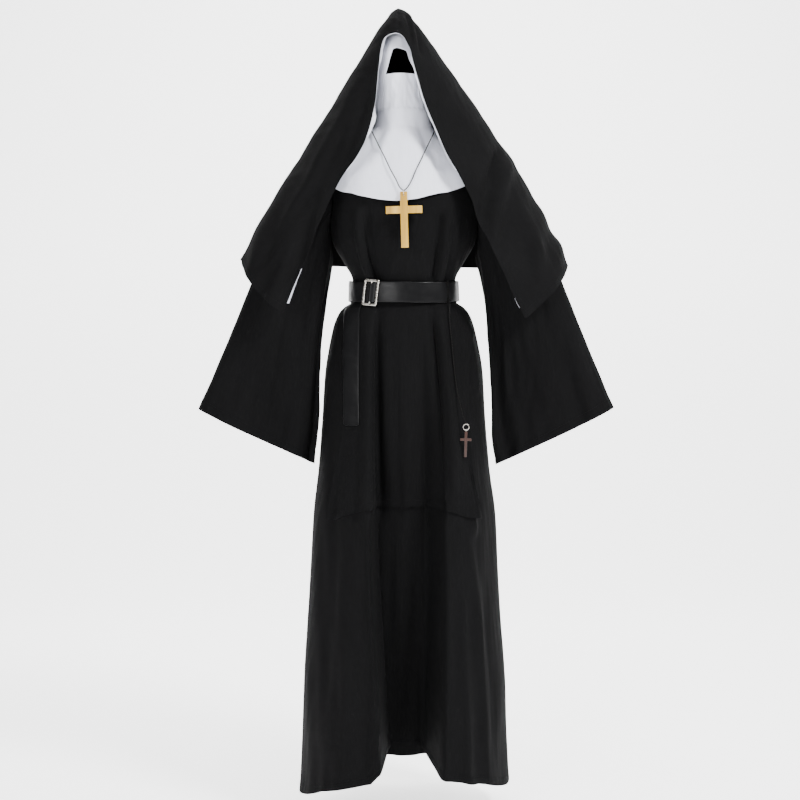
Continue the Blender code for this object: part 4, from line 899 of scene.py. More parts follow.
def woven(name, dark, light, roughness, sheen, thread, twill, distance, tint=(1.0, 1.0, 1.0)):
    """Woven cloth: crossed threads in relief, slubs and an uneven tone."""
    finish = Finish(name, roughness, sheen=sheen, sheen_roughness=0.45, level=0.12,
                    sheen_tint=tint, bend=1.22)
    vector, across, down = finish.lay()
    step = 2.0 * math.pi / thread
    warp = finish.math("SINE", finish.math("MULTIPLY", across, step))
    weft = finish.math("SINE", finish.math("MULTIPLY", down, step))
    cross = finish.math("MULTIPLY", warp, weft)
    if twill:
        slope = finish.math("ADD", across, finish.math("MULTIPLY", down, 0.8))
        ribs = finish.math("SINE", finish.math("MULTIPLY", slope, step * 0.5))
        cross = finish.math("ADD", finish.math("MULTIPLY", cross, 0.5), ribs)
    slub = finish.noise(vector, 420.0, 2.0, stretch=(1.0, 0.08, 1.0))
    tone = finish.noise(vector, 7.0, 4.0, stretch=(1.0, 0.45, 1.0))
    mixed = finish.math("ADD", finish.math("MULTIPLY", tone, 0.72),
                        finish.math("MULTIPLY", slub, 0.28))
    mixed = finish.math("ADD", mixed, finish.math("MULTIPLY", cross, 0.035))
    finish.colour(finish.ramp(mixed, [(0.30, dark), (0.72, light)]))
    finish.rough(tone, roughness - 0.06, min(1.0, roughness + 0.06))
    height = finish.math("ADD", cross, finish.math("MULTIPLY", slub, 0.9))
    finish.bump(height, distance, 0.55)
    return finish.made


def thread_finish(name, colour, roughness):
    finish = Finish(name, roughness, level=0.3, bend=1.25)
    place = finish.add("ShaderNodeTexCoord").outputs["Object"]
    grain = finish.noise(place, 900.0, 2.0)
    low = tuple(c * 0.8 for c in colour)
    finish.colour(finish.ramp(grain, [(0.35, low), (0.65, colour)]))
    return finish.made


def leather(name):
    """Black imitation leather: fine pebble, soft handling creases, low gloss."""
    finish = Finish(name, 0.34, level=0.5, bend=1.22)
    vector, across, down = finish.lay()
    pebble = finish.add("ShaderNodeTexVoronoi", feature="SMOOTH_F1")
    pebble.inputs["Scale"].default_value = 900.0
    finish.links.new(vector, pebble.inputs["Vector"])
    wrinkle = finish.noise(vector, 60.0, 5.0, stretch=(0.35, 1.6, 1.0))
    tone = finish.noise(vector, 16.0, 4.0)
    finish.colour(finish.ramp(tone, [(0.3, (0.0036, 0.0036, 0.0040)), (0.7, (0.0064, 0.0064, 0.0068))]))
    finish.rough(wrinkle, 0.28, 0.44)
    height = finish.math("ADD", finish.math("MULTIPLY", pebble.outputs[0], 0.35),
                         finish.math("MULTIPLY", wrinkle, 1.3))
    finish.bump(height, 0.0004, 0.55)
    return finish.made


def metal(name, colour, worn):
    finish = Finish(name, 0.26, metallic=1.0)
    place = finish.add("ShaderNodeTexCoord").outputs["Object"]
    tone = finish.noise(place, 180.0, 5.0)
    scratch = finish.noise(place, 1400.0, 3.0, stretch=(1.0, 1.0, 0.06))
    finish.colour(finish.ramp(tone, [(0.30, worn), (0.62, colour)]))
    finish.rough(tone, 0.20, 0.38)
    finish.bump(scratch, 0.00006, 0.35)
    return finish.made


def wood(name, dark, middle, light, scale):
    """Fine straight grain along the height, with pores and end rubbing."""
    finish = Finish(name, 0.48, level=0.45, coat=0.10, coat_roughness=0.35)
    place = finish.add("ShaderNodeTexCoord").outputs["Object"]
    grain = finish.noise(place, 60.0 * scale, 6.0, stretch=(1.0, 1.0, 0.10))
    fibre = finish.noise(place, 420.0 * scale, 3.0, stretch=(1.0, 1.0, 0.05))
    rubbed = finish.noise(place, 40.0 * scale, 3.0)
    mixed = finish.math("ADD", finish.math("MULTIPLY", grain, 0.6),
                        finish.math("MULTIPLY", fibre, 0.25))
    mixed = finish.math("ADD", mixed, finish.math("MULTIPLY", rubbed, 0.15))
    finish.colour(finish.ramp(mixed, [(0.34, dark), (0.50, middle), (0.66, light)]))
    finish.rough(rubbed, 0.40, 0.58)
    finish.bump(fibre, 0.00012, 0.5)
    return finish.made


BLACK_CLOTH = woven("black_cloth", (0.0030, 0.0030, 0.0032), (0.0052, 0.0052, 0.0055), 0.80, 0.006,
                    0.0011, True, 0.00012)
VEIL_CLOTH = woven("veil_cloth", (0.0034, 0.0034, 0.0036), (0.0058, 0.0058, 0.0061), 0.80, 0.007,
                   0.0010, False, 0.00012)
# Painted shade: near-black cloth for the inside back of the white coif hood. It stands in for the shade seen
# through the face opening and is not a real lining.
HOOD_INSIDE_SHADE = woven("painted_hood_shade", (0.0040, 0.0030, 0.0034), (0.0070, 0.0052, 0.0058), 0.88, 0.0,
                    0.0010, False, 0.00010)
WHITE_CLOTH = woven("white_cloth", (0.70, 0.715, 0.80), (0.84, 0.855, 0.93), 0.84, 0.04, 0.0009,
                    False, 0.00010)
BLACK_THREAD = thread_finish("black_thread", (0.0050, 0.0050, 0.0054), 0.85)
WHITE_THREAD = thread_finish("white_thread", (0.78, 0.79, 0.84), 0.7)
CORD_FINISH = thread_finish("waxed_cord", (0.0030, 0.0028, 0.0028), 0.60)
BELT_LEATHER = leather("belt_leather")
BUCKLE_METAL = metal("nickel_plate", (0.74, 0.71, 0.66), (0.50, 0.46, 0.40))
PALE_CROSS = wood("pale_wood", (0.30, 0.160, 0.016), (0.46, 0.262, 0.028), (0.60, 0.375, 0.070), 1.0)
RED_CROSS = wood("red_wood", (0.014, 0.005, 0.003), (0.032, 0.010, 0.006), (0.056, 0.021, 0.013), 2.0)


# Camera, floor and light
def make_stage():
    lens = bpy.data.cameras.new("camera")
    lens.sensor_width = 36.0
    lens.lens = 56.7
    camera = bpy.data.objects.new("camera", lens)
    camera.location = (-0.011, -2.8, 0.846 - HELD_HEIGHT)
    camera.rotation_euler = (math.pi / 2, 0.0, 0.0)
    bpy.context.scene.collection.objects.link(camera)
    bpy.context.scene.camera = camera
    world = bpy.data.worlds.new("studio")
    world.use_nodes = True
    world.node_tree.nodes["Background"].inputs["Color"].default_value = (0.985, 0.99, 1.0, 1.0)
    world.node_tree.nodes["Background"].inputs["Strength"].default_value = 0.22
    bpy.context.scene.world = world
    points = []
    floor = -HELD_HEIGHT - 0.055
    for step in range(13):
        turn = math.pi / 2 * step / 12
        points.append((2.2 + 1.6 * math.sin(turn), floor + 1.6 * (1.0 - math.cos(turn))))
    line = [(-6.0, floor)] + points + [(3.8, 6.0)]
    grid = [[(x, y, z) for x in (-7.0, 7.0)] for y, z in line]
    mesh = bpy.data.meshes.new("backdrop")
    faces = [[2 * i, 2 * i + 1, 2 * i + 3, 2 * i + 2] for i in range(len(line) - 1)]
    mesh.from_pydata([p for row in grid for p in row], [], faces)
    mesh.shade_smooth()
    backdrop = bpy.data.objects.new("backdrop", mesh)
    pale = bpy.data.materials.new("pale_paper")
    pale.use_nodes = True
    shader = pale.node_tree.nodes["Principled BSDF"]
    shader.inputs["Base Color"].default_value = (0.93, 0.93, 0.93, 1.0)
    shader.inputs["Roughness"].default_value = 0.9
    shader.inputs["Emission Color"].default_value = (1.0, 1.0, 1.0, 1.0)
    shader.inputs["Emission Strength"].default_value = 1.9
    mesh.materials.append(pale)
    bpy.context.scene.collection.objects.link(backdrop)
    lights = [
        ("key", (2.4, -2.1, 2.3), 1.0, 300.0), ("fill", (-1.7, -3.2, 0.2), 1.5, 90.0),
        ("top", (0.2, -0.6, 2.3), 1.6, 40.0), ("back_wall", (0.0, 1.4, 1.9), 3.0, 120.0)]
    for name, place, size, power in lights:
        lamp = bpy.data.lights.new(name, "AREA")
        lamp.shape = "SQUARE"
        lamp.size = size
        lamp.energy = power
        made = bpy.data.objects.new(name, lamp)
        made.location = place
        target = Vector((0.0, 0.0, -0.5)) if name != "back_wall" else Vector((0.0, 3.4, 0.0))
        made.rotation_euler = (target - made.location).to_track_quat("-Z", "Y").to_euler()
        bpy.context.scene.collection.objects.link(made)


# Robe and scapular
def belt_hush(z):
    """Folds are pressed flat under the belt and the bib."""
    under_belt = np.exp(-((z - 1.077) / 0.026) ** 2)
    return (1.0 - 0.72 * under_belt) * smooth((1.270 - z) / 0.035)


def robe_detail(point, angle, height):
    """How far the fine folds move the draped robe outwards."""
    front = np.cos(np.radians(angle)) >= 0.0
    x = point[..., 0]
    z = point[..., 2]
    folds = np.where(front, creases(FRONT_CREASES, x, z), creases(BACK_CREASES, x, z))
    fall = smooth((1.30 - z) / 1.1)
    waves = ripple(x, z, 11, 0.055, 0.60) * (0.0005 + 0.0011 * fall)
    waves += ripple(x + point[..., 1], z, 12, 0.020, 0.20) * 0.00035
    near_side = np.abs(np.abs((angle + 180.0) % 360.0 - 180.0) - 90.0)
    cut = np.vectorize(armhole_cut)(height)
    return (folds + waves) * belt_hush(z) * smooth((near_side - cut) / 7.0)


def draped(height, angle):
    """Point and outward direction of the robe with its fine folds."""
    height, angle = np.broadcast_arrays(np.asarray(height, float), np.asarray(angle, float))
    turn = 0.25
    drop = 0.0015
    around = robe_point(height, angle + turn) - robe_point(height, angle - turn)
    down = robe_point(height - drop, angle) - robe_point(height + drop, angle)
    normal = np.cross(down, around)
    normal = normal / np.linalg.norm(normal, axis=-1, keepdims=True)
    point = robe_point(height, angle)
    return point + normal * robe_detail(point, angle, height)[..., None], normal


def fine_rows(top, bottom, step, hem):
    """Front heights from the top down, with close rows in the turned hem."""
    plain = np.arange(top, bottom + hem + 0.004, -step)
    close = bottom + hem * np.array([1.15, 1.04, 0.96, 0.90, 0.82, 0.55, 0.25, 0.08, 0.0])
    return np.concatenate([plain, close])


ROBE_HEM = 0.020


def build_robe():
    rows = np.unique(np.concatenate([fine_rows(1.385, 0.0, 0.0066, ROBE_HEM),
                                     [SHOULDER_ROW, ARMPIT_ROW]]))[::-1]
    cut = np.array([armhole_cut(h) for h in rows])
    hem = hem_ledge(rows, ROBE_HEM)[:, None]
    for name, middle, half, columns in (("robe_front_cloth", 0.0, 90.0, 181),
                                        ("robe_back_cloth", 180.0, 90.0, 131)):
        share = np.linspace(-1.0, 1.0, columns)
        angles = middle + share[None, :] * (half - cut[:, None])
        heights = np.repeat(rows[:, None], columns, axis=1)
        points, normals = draped(heights, angles)
        seam = 0.0007 * np.exp(-((1.0 - np.abs(share)) / 0.012) ** 2)[None, :]
        pucker = ripple(share[None, :] * 0.4, rows[:, None], 21, 0.012, 0.03) * 0.00025
        pucker = pucker * smooth(1.0 - rows[:, None] / 0.05)
        piece = skin(name, points, hem + pucker - seam, -0.0013 + 0.0 * seam, BLACK_CLOTH)
        node = name.replace("_cloth", "")
        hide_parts(node)
        level = np.full(columns, ROBE_HEM - 0.0018)
        line, out = draped(level, angles[-1])
        hem_thread = stitches(node + "_hem_stitches", line + out * 0.0003, out, BLACK_THREAD)


def build_scapular():
    share = np.linspace(-1.0, 1.0, 141)
    share = np.sign(share) * (1.0 - (1.0 - np.abs(share)) ** 1.25)
    rows = fine_rows(1.340, SCAPULAR_HEM_ROW, 0.0062, 0.017)
    for name, back in (("scapular_front_cloth", False), ("scapular_back_cloth", True)):
        heights = np.repeat(rows[:, None], len(share), axis=1)
        if back:
            limit = curve(SCAPULAR["height"], SCAPULAR["back"], rows)[:, None]
            angles = 180.0 + share[None, :] * limit
        else:
            left = curve(SCAPULAR["height"], SCAPULAR["left"], rows)[:, None]
            right = curve(SCAPULAR["height"], SCAPULAR["right"], rows)[:, None]
            angles = np.where(share[None, :] < 0.0, share * left, share * right)
            arch = (SCAPULAR_HEM_ARCH - (SCAPULAR_HEM_ARCH + SCAPULAR_HEM_DROP)
                    * smooth((angles / 50.0) ** 2))
            heights = heights + arch * smooth((0.72 - rows[:, None]) / 0.12)
        points, normals = draped(heights, angles)
        z = points[..., 2]
        edge = 1.0 - np.abs(share[None, :])
        free = smooth((0.80 - rows[:, None]) / 0.12)
        low = smooth(1.0 - (rows[:, None] - SCAPULAR_HEM_ROW) / 0.16)
        reach = np.exp(-(edge / 0.06) ** 2)
        curl = reach * (0.0006 + 0.0034 * free * (0.7 + 0.3 * ripple(0.0, rows[:, None], 31, 1.0, 0.12)))
        if not back:
            right_side = (share[None, :] > 0.0) & (rows[:, None] < 1.03)
            curl = curl + reach * np.where(right_side, 0.0018, 0.0)
        flare = low * (0.0022 + 0.0014 * ripple(share[None, :] * 0.2, 0.0, 32, 0.09, 1.0))
        hush = smooth((1.02 - z) / 0.03)
        upper = smooth((z - 1.12) / 0.02) * smooth((1.25 - z) / 0.03)
        lift = curl * np.maximum(hush, upper) + flare
        side_hem = hem_ledge(edge * 0.12, 0.0075, 0.0004)
        bottom_hem = hem_ledge(rows[:, None] - SCAPULAR_HEM_ROW, 0.017, 0.0005)
        outer = 0.0022 + lift + np.maximum(side_hem, 0.0) + bottom_hem
        piece = skin(name, points, outer, 0.0010 + lift, BLACK_CLOTH)
        node = name.replace("_cloth", "")
        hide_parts(node)
        row = int(np.argmin(np.abs(rows - SCAPULAR_HEM_ROW - 0.0152)))
        line = points[row] + normals[row] * (outer[row][:, None] + 0.0001)
        hem_thread = stitches(node + "_hem_stitches", line[4:-4], normals[row][4:-4], BLACK_THREAD)


# Sleeves
def catmull(values, knots, at):
    """Smooth interpolation of arrays given at knots."""
    made = []
    for where in at:
        i = int(np.clip(np.searchsorted(knots, where, side="right") - 1, 0, len(knots) - 2))
        span = knots[i + 1] - knots[i]
        part = (where - knots[i]) / span
        before = max(i - 1, 0)
        after = min(i + 2, len(knots) - 1)
        slope = (values[i + 1] - values[before]) / (knots[i + 1] - knots[before]) * span
        following = (values[after] - values[i]) / (knots[after] - knots[i]) * span
        made.append(values[i] * (2 * part ** 3 - 3 * part ** 2 + 1)
                    + slope * (part ** 3 - 2 * part ** 2 + part)
                    + values[i + 1] * (3 * part ** 2 - 2 * part ** 3)
                    + following * (part ** 3 - part ** 2))
    return np.array(made)


def build_sleeve(name, side, rows, folds, seed):
    sections = table(SLEEVE_COLUMNS, rows)
    columns = 168
    theta = np.arange(columns) / columns * 2.0 * math.pi
    drop = SHOULDER_ROW - ARMPIT_ROW
    level = SHOULDER_ROW - drop * (1.0 - np.cos(theta)) / 2.0
    cut = np.array([armhole_cut(h) for h in level])
    turn = np.where(np.sin(theta) >= 0.0, 90.0 - cut, 90.0 + cut)
    root = robe_point(level, side * turn)
    root[:, 0] += side * 0.0012
    rings = [root]
    for i in range(len(rows)):
        outer = np.array([side * sections["outer_x"][i], 0.0, sections["outer_z"][i]])
        inner = np.array([side * sections["inner_x"][i], 0.0, sections["inner_z"][i]])
        tuck = 1.0 - sections["tuck"][i] * smooth((1.0 - np.cos(theta)) / 2.0 * 1.2)
        ring = (outer + inner) / 2.0 + np.outer(np.cos(theta), (outer - inner) / 2.0)
        ring[:, 1] = sections["centre_y"][i] - sections["thickness"][i] * np.sin(theta) * tuck
        rings.append(ring)
    rings[-1][:, 2] -= np.sin(theta) ** 2 * SLEEVE_HEM_BOW
    puff = (root + rings[1]) / 2.0
    puff[:, 0] += side * 0.004 * np.cos(theta)
    puff[:, 2] += 0.006 * np.maximum(np.cos(theta), 0.0)
    rings.insert(1, puff)
    rings = np.array(rings)
    steps = np.linalg.norm(np.diff(rings, axis=0), axis=-1).mean(axis=1)
    knots = np.concatenate([[0.0], np.cumsum(steps)])
    hem = 0.019
    close = knots[-1] - hem * np.array([1.15, 1.04, 0.96, 0.90, 0.82, 0.55, 0.25, 0.08, 0.0])
    places = np.concatenate([np.arange(0.0, knots[-1] - hem * 1.3, 0.0056), close])
    points = catmull(rings, knots, places)
    share = (places / knots[-1])[:, None]
    degrees = np.degrees(theta)
    degrees = np.where(degrees > 180.0, degrees - 360.0, degrees)[None, :]
    total = np.zeros(points.shape[:2])
    for i in range(len(folds["from"])):
        begin = folds["from"][i]
        finish = folds["to"][i]
        part = np.clip((share - begin) / (finish - begin), 0.0, 1.0)
        centre = folds["turn_top"][i] * (1.0 - part) + folds["turn_low"][i] * part
        away = (degrees - centre + 180.0) % 360.0 - 180.0
        inside = smooth((share - begin) / 0.22) * smooth((finish + 0.06 - share) / 0.12)
        total += folds["high"][i] * (0.35 + 0.65 * part) * inside * np.exp(-(away / folds["wide"][i]) ** 2)
    metres = theta[None, :] * 0.12
    waves = (ripple(np.cos(theta)[None, :] * 0.12, share * 0.6 + np.sin(theta)[None, :] * 0.1, seed,
                    0.06, 0.35) * 0.0016
             + ripple(np.cos(theta)[None, :] * 0.12, share * 0.6, seed + 1, 0.022, 0.12) * 0.0005)
    cap = np.exp(-(share / 0.05) ** 2) * ripple(metres, 0.0 * share, seed + 2, 0.02, 1.0) * 0.0010
    normals = grid_directions(points, wrap=True)
    if np.sum((points - points.reshape(-1, 3).mean(axis=0))[..., 1] * normals[..., 1]) < 0.0:
        normals = -normals
    moved = total + waves * smooth(share / 0.12) + cap
    points = points + normals * moved[..., None]
    ledge = hem_ledge(knots[-1] - places, hem)[:, None]
    normals = grid_directions(points, wrap=True)
    if np.sum((points - points.reshape(-1, 3).mean(axis=0))[..., 1] * normals[..., 1]) < 0.0:
        normals = -normals
    piece = skin(name + "_cloth", points, ledge, -0.0014, BLACK_CLOTH, wrap=True, normals=normals)
    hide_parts(name)
    row = int(np.argmin(np.abs(knots[-1] - places - hem + 0.0018)))
    line = points[row] + normals[row] * 0.0003
    line = np.concatenate([line, line[:1]])
    out = np.concatenate([normals[row], normals[row][:1]])
    hem_thread = stitches(name + "_hem_stitches", line, out, BLACK_THREAD)


# Bib, hood and veil
def build_bib():
    angles = np.arange(288) * 1.25 - 180.0
    hem = table(BIB_COLUMNS, BIB_HEM)
    low = curve(hem["angle"], hem["hem"], angles)
    share = np.concatenate([np.linspace(0.0, 0.90, 62), [0.915, 0.925, 0.935, 0.95, 0.98, 0.995, 1.0]])
    heights = BIB_TOP - share[:, None] * (BIB_TOP - low[None, :])
    points = figure(heights, angles[None, :])
    points[..., 0] += BODY_SHIFT
    normals = grid_directions(points, wrap=True)
    if np.sum(points[..., :2] * normals[..., :2]) < 0.0:
        normals = -normals
    total = np.zeros(points.shape[:2])
    for top, bottom, wide, high in BIB_FOLDS:
        centre = top * (1.0 - share[:, None]) + bottom * share[:, None]
        away = (angles[None, :] - centre + 180.0) % 360.0 - 180.0
        total += high * smooth(share[:, None] / 0.5) * np.exp(-(away / wide) ** 2)
    spot = np.stack([points[..., 0], points[..., 2]])
    total += ripple(spot[0], spot[1], 41, 0.03, 0.05) * 0.00035 * smooth(share[:, None] / 0.2)
    total -= 0.0006 * smooth(share[:, None] / 0.3)
    distance = (1.0 - share[:, None]) * (BIB_TOP - low[None, :])
    ledge = hem_ledge(distance, 0.0130, 0.0004)
    middle = BIB_INNER + BIB_WALL
    points = points + normals * (middle + total)[..., None]
    piece = skin("bib_cloth", points, ledge, -0.0011, WHITE_CLOTH, wrap=True)
    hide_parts("bib")
    level = BIB_TOP - (BIB_TOP - low) + 0.0112
    line = figure(level, angles)
    line[:, 0] += BODY_SHIFT
    row = int(np.argmin(np.abs(share - 0.93)))
    line = line + normals[row] * (middle + total[row] + 0.00015)[:, None]
    line = np.concatenate([line, line[:1]])
    out = np.concatenate([normals[row], normals[row][:1]])
    hem_thread = stitches("bib_hem_stitches", line, out, WHITE_THREAD, 0.0030, 0.0022, 0.0002)


def fine_levels(rows, seam, above, below, hem):
    """Front rows of a hood made close, the seam row kept; returns them and the seam's place."""
    upper = np.interp(np.linspace(0.0, seam, above), np.arange(seam + 1), rows[:seam + 1])
    lower = np.interp(np.linspace(seam, len(rows) - 1, below), np.arange(len(rows)), rows)[1:]
    total = rows[-1]
    lower = lower[lower > total + hem * 1.3]
    close = total + hem * np.array([1.15, 1.04, 0.96, 0.90, 0.82, 0.55, 0.25, 0.08, 0.0])
    levels = np.concatenate([upper, lower, close]) if hem > 0.0 else np.concatenate(
        [upper, np.interp(np.linspace(seam, len(rows) - 1, below), np.arange(len(rows)), rows)[1:]])
    return levels.tolist(), above - 1


VEIL_HEM_WIDTH = 0.016


def build_veil():
    edge = table(EDGE_COLUMNS, VEIL_EDGE)
    hem = table(("angle", "level"), VEIL_HEM)
    levels, seam = fine_levels(VEIL_FRONT_ROWS, VEIL_SEAM_ROW, 26, 132, VEIL_HEM_WIDTH)
    parts = (8, 44, 62, 62, 44, 8)
    points = hood_grid(VEIL, edge, levels, seam, hem, parts, FACING_WIDTH)
    around = np.degrees(np.arctan2(points[..., 0], -points[..., 1])) % 360.0
    grown = smooth((FLUTES_FROM - points[..., 2]) / FLUTES_LENGTH)
    for centre, reach, size in VEIL_FLUTES:
        points[..., 1] += size * grown * lobe(around, centre, reach)
    plain = points.copy()
    normals = veil_directions(points, seam)
    x = points[..., 0]
    z = points[..., 2]
    front = points[..., 1] < 0.02
    low = smooth((1.60 - z) / 0.5)
    detail = np.where(front, creases(VEIL_FRONT_CREASES, x, z), creases(VEIL_BACK_CREASES, x, z))
    detail += ripple(x, z, 51, 0.085, 0.35) * (0.0006 + 0.0030 * low)
    detail += ripple(x + points[..., 1], z, 52, 0.028, 0.12) * 0.0005
    fade = smooth((np.array(levels)[0] - np.array(levels))[:, None] / 0.03)
    points = points + normals * (detail * fade)[..., None]
    normals = veil_directions(points, seam)
    run = np.array(levels)[:, None] - levels[-1]
    drop = (plain[:, :, 2] - plain[-1:, :, 2])
    ledge = hem_ledge(np.where(run < VEIL_HEM_WIDTH * 1.3, np.minimum(drop, run * 1.0), 1.0), VEIL_HEM_WIDTH)
    piece = skin("veil_cloth", points, ledge, -0.0013, VEIL_CLOTH, weld=seam, pole=True,
                 normals=normals)
    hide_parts("veil")
    row = int(np.argmin(np.abs(run[:, 0] - VEIL_HEM_WIDTH + 0.0018)))
    line = points[row] + normals[row] * 0.0003
    hem_thread = stitches("veil_hem_stitches", line, normals[row], BLACK_THREAD)
    build_facing(points, normals, seam, levels)


def veil_directions(points, seam):
    normals = grid_directions(points, weld=seam)
    if np.sum(points[2:, :, :2] * normals[2:, :, :2]) < 0.0:
        normals = -normals
    normals[0] = np.array([0.0, 0.0, 1.0])
    return normals


FACING_COLUMNS = 9
FACING_SET_BACK = 3.4


def set_back(grid, cells):
    """Columns from deep inside to the front edge, moved in from the edge by so many cells."""
    columns = np.arange(FACING_COLUMNS)[::-1]
    made = []
    for row, shift in zip(grid, cells):
        place = columns + shift
        low = np.floor(place).astype(int)
        part = (place - low)[:, None]
        made.append(row[low] * (1.0 - part) + row[low + 1] * part)
    return np.array(made)


def build_facing(points, normals, seam, levels):
    """White strip inside the veil's front edges, its fold just past the black edge."""
    first = seam - 2
    rows = np.arange(first, len(levels) - 9)
    for name, side in (("left", -1.0), ("right", 1.0)):
        strip = points[rows] if side > 0.0 else points[rows][:, ::-1]
        out = normals[rows] if side > 0.0 else normals[rows][:, ::-1]
        z = strip[:, 0, 2]
        hidden = smooth((1.340 - z) / 0.03) * smooth((z - (1.058 if side > 0.0 else 1.120)) / 0.025)
        strip = set_back(strip, FACING_SET_BACK * hidden)
        out = set_back(out, FACING_SET_BACK * hidden)
        edge = strip[:, -1]
        inward = edge - strip[:, -2]
        length = np.linalg.norm(inward, axis=-1, keepdims=True)
        inward = inward / np.where(length > 1e-9, length, 1.0)
        if side > 0.0:
            reach = (0.0010 + 0.0016 * smooth((z - 1.33) / 0.03) + 0.0010 * smooth((z - 1.40) / 0.04)
                     - 0.0022 * smooth((z - 1.56) / 0.03))
        else:
            reach = (0.0010 + 0.0044 * smooth((z - 1.55) / 0.04) + 0.0030 * smooth((1.115 - z) / 0.03)
                     + 0.0080 * lobe(z, 1.438, 0.045))
        reach = reach * (1.0 + 0.15 * ripple(z, 0.0 * z, 61, 0.05, 1.0))
        base = strip - out * 0.0026
        first_ring = edge - out[:, -1] * 0.0021 + inward * (reach * 0.6)[:, None]
        second_ring = edge - out[:, -1] * 0.0010 + inward * reach[:, None]
        grid = np.concatenate([base, first_ring[:, None], second_ring[:, None]], axis=1)
        turned = np.concatenate([out, out[:, -1:], out[:, -1:]], axis=1)
        piece = skin("veil_facing_" + name, grid, 0.0004, -0.0006, WHITE_CLOTH, normals=turned)
        if side > 0.0:
            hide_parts("veil_facing")


def build_coif():
    edge = table(EDGE_COLUMNS, COIF_EDGE)
    hem = table(("angle", "level"), [(-180.0, COIF_FRONT_ROWS[-1]), (180.0, COIF_FRONT_ROWS[-1])])
    levels, seam = fine_levels(COIF_FRONT_ROWS, COIF_SEAM_ROW, 16, 66, 0.0)
    points = hood_grid(COIF, edge, levels, seam, hem, (5, 16, 22, 22, 16, 5), 0.0)
    normals = veil_directions(points, seam)
    x = points[..., 0]
    z = points[..., 2]
    fade = smooth((levels[0] - np.array(levels))[:, None] / 0.02)
    detail = ripple(x + points[..., 1] * 0.5, z, 71, 0.030, 0.07) * 0.0007 * fade
    columns = points.shape[1]
    middle = np.abs(np.arange(columns) - (columns - 1) / 2.0)[None, :]
    detail -= 0.0006 * np.exp(-(middle / 1.0) ** 2) * fade
    detail += 0.0010 * smooth((1.4810 - z) / 0.004)
    points = points + normals * detail[..., None]
    rim = np.minimum(np.arange(columns), columns - 1 - np.arange(columns))[None, :]
    ledge = 0.0004 * smooth((4.5 - rim) / 1.5) * (np.arange(len(levels))[:, None] > seam)
    piece = skin("coif_hood_cloth", points, ledge, -0.0012, WHITE_CLOTH, weld=seam, pole=True)
    # Inside faces at the back of the white hood get the painted shade material, so the face opening shows
    # dark.
    piece.data.materials.append(HOOD_INSIDE_SHADE)
    middle_y = BODY_SHIFT
    for face in piece.data.polygons:
        inward = Vector((face.center.x - BODY_SHIFT, face.center.y - middle_y, 0.0))
        if face.center.y > 0.0 and face.normal.dot(inward) < 0.0:
            face.material_index = 1
    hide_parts("coif_hood")
    rows = []
    for level in np.linspace(COIF_FRONT_ROWS[CHIN_TOP_ROW], COIF_FRONT_ROWS[-1], 38):
        width = float(curve(COIF["height"], COIF["half_width"], level))
        gap = math.degrees(CHIN_GAP / (width * 0.9))
        left = edge_angle(COIF, float(curve(edge["height"], edge["left"], level)), level) + gap
        right = edge_angle(COIF, float(curve(edge["height"], edge["right"], level)), level) - gap
        angle = np.linspace(left, right, 37)
        rows.append(section_point(COIF, np.full(len(angle), level), angle))
    grid = np.array(rows)
    out = grid_directions(grid)
    if np.sum(grid[..., 1] * out[..., 1]) < 0.0:
        out = -out
    seam_line = -0.0013 * np.exp(-((np.arange(37) - 20.0) / 0.7) ** 2)[None, :]
    top_hem = 0.0004 * smooth((5.0 - np.arange(38)) / 1.5)[:, None]
    detail = ripple(grid[..., 0], grid[..., 2], 72, 0.02, 0.04) * 0.0008 + seam_line
    detail = detail + 0.0010 * smooth((1.4810 - grid[..., 2]) / 0.004)
    grid = grid + out * detail[..., None]
    piece = skin("coif_chin_cloth", grid, top_hem, -0.0012, WHITE_CLOTH, normals=out)
    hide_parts("coif_chin")


# Belt, tail and buckle
def rounded_section(inner, outer, corner, steps=4):
    """Closed outline of a flat strap as (out, share of the height from the low edge)."""
    centre = (inner + outer) / 2.0
    half = (outer - inner) / 2.0
    outline = []
    for base, sign in ((0.0, -1.0), (1.0, 1.0)):
        for i in range(steps * 2 + 1):
            turn = math.pi * i / (steps * 2)
            out = centre - sign * half * math.cos(turn) * -1.0
            outline.append((out, base, sign * corner * math.sin(turn)))
    return outline


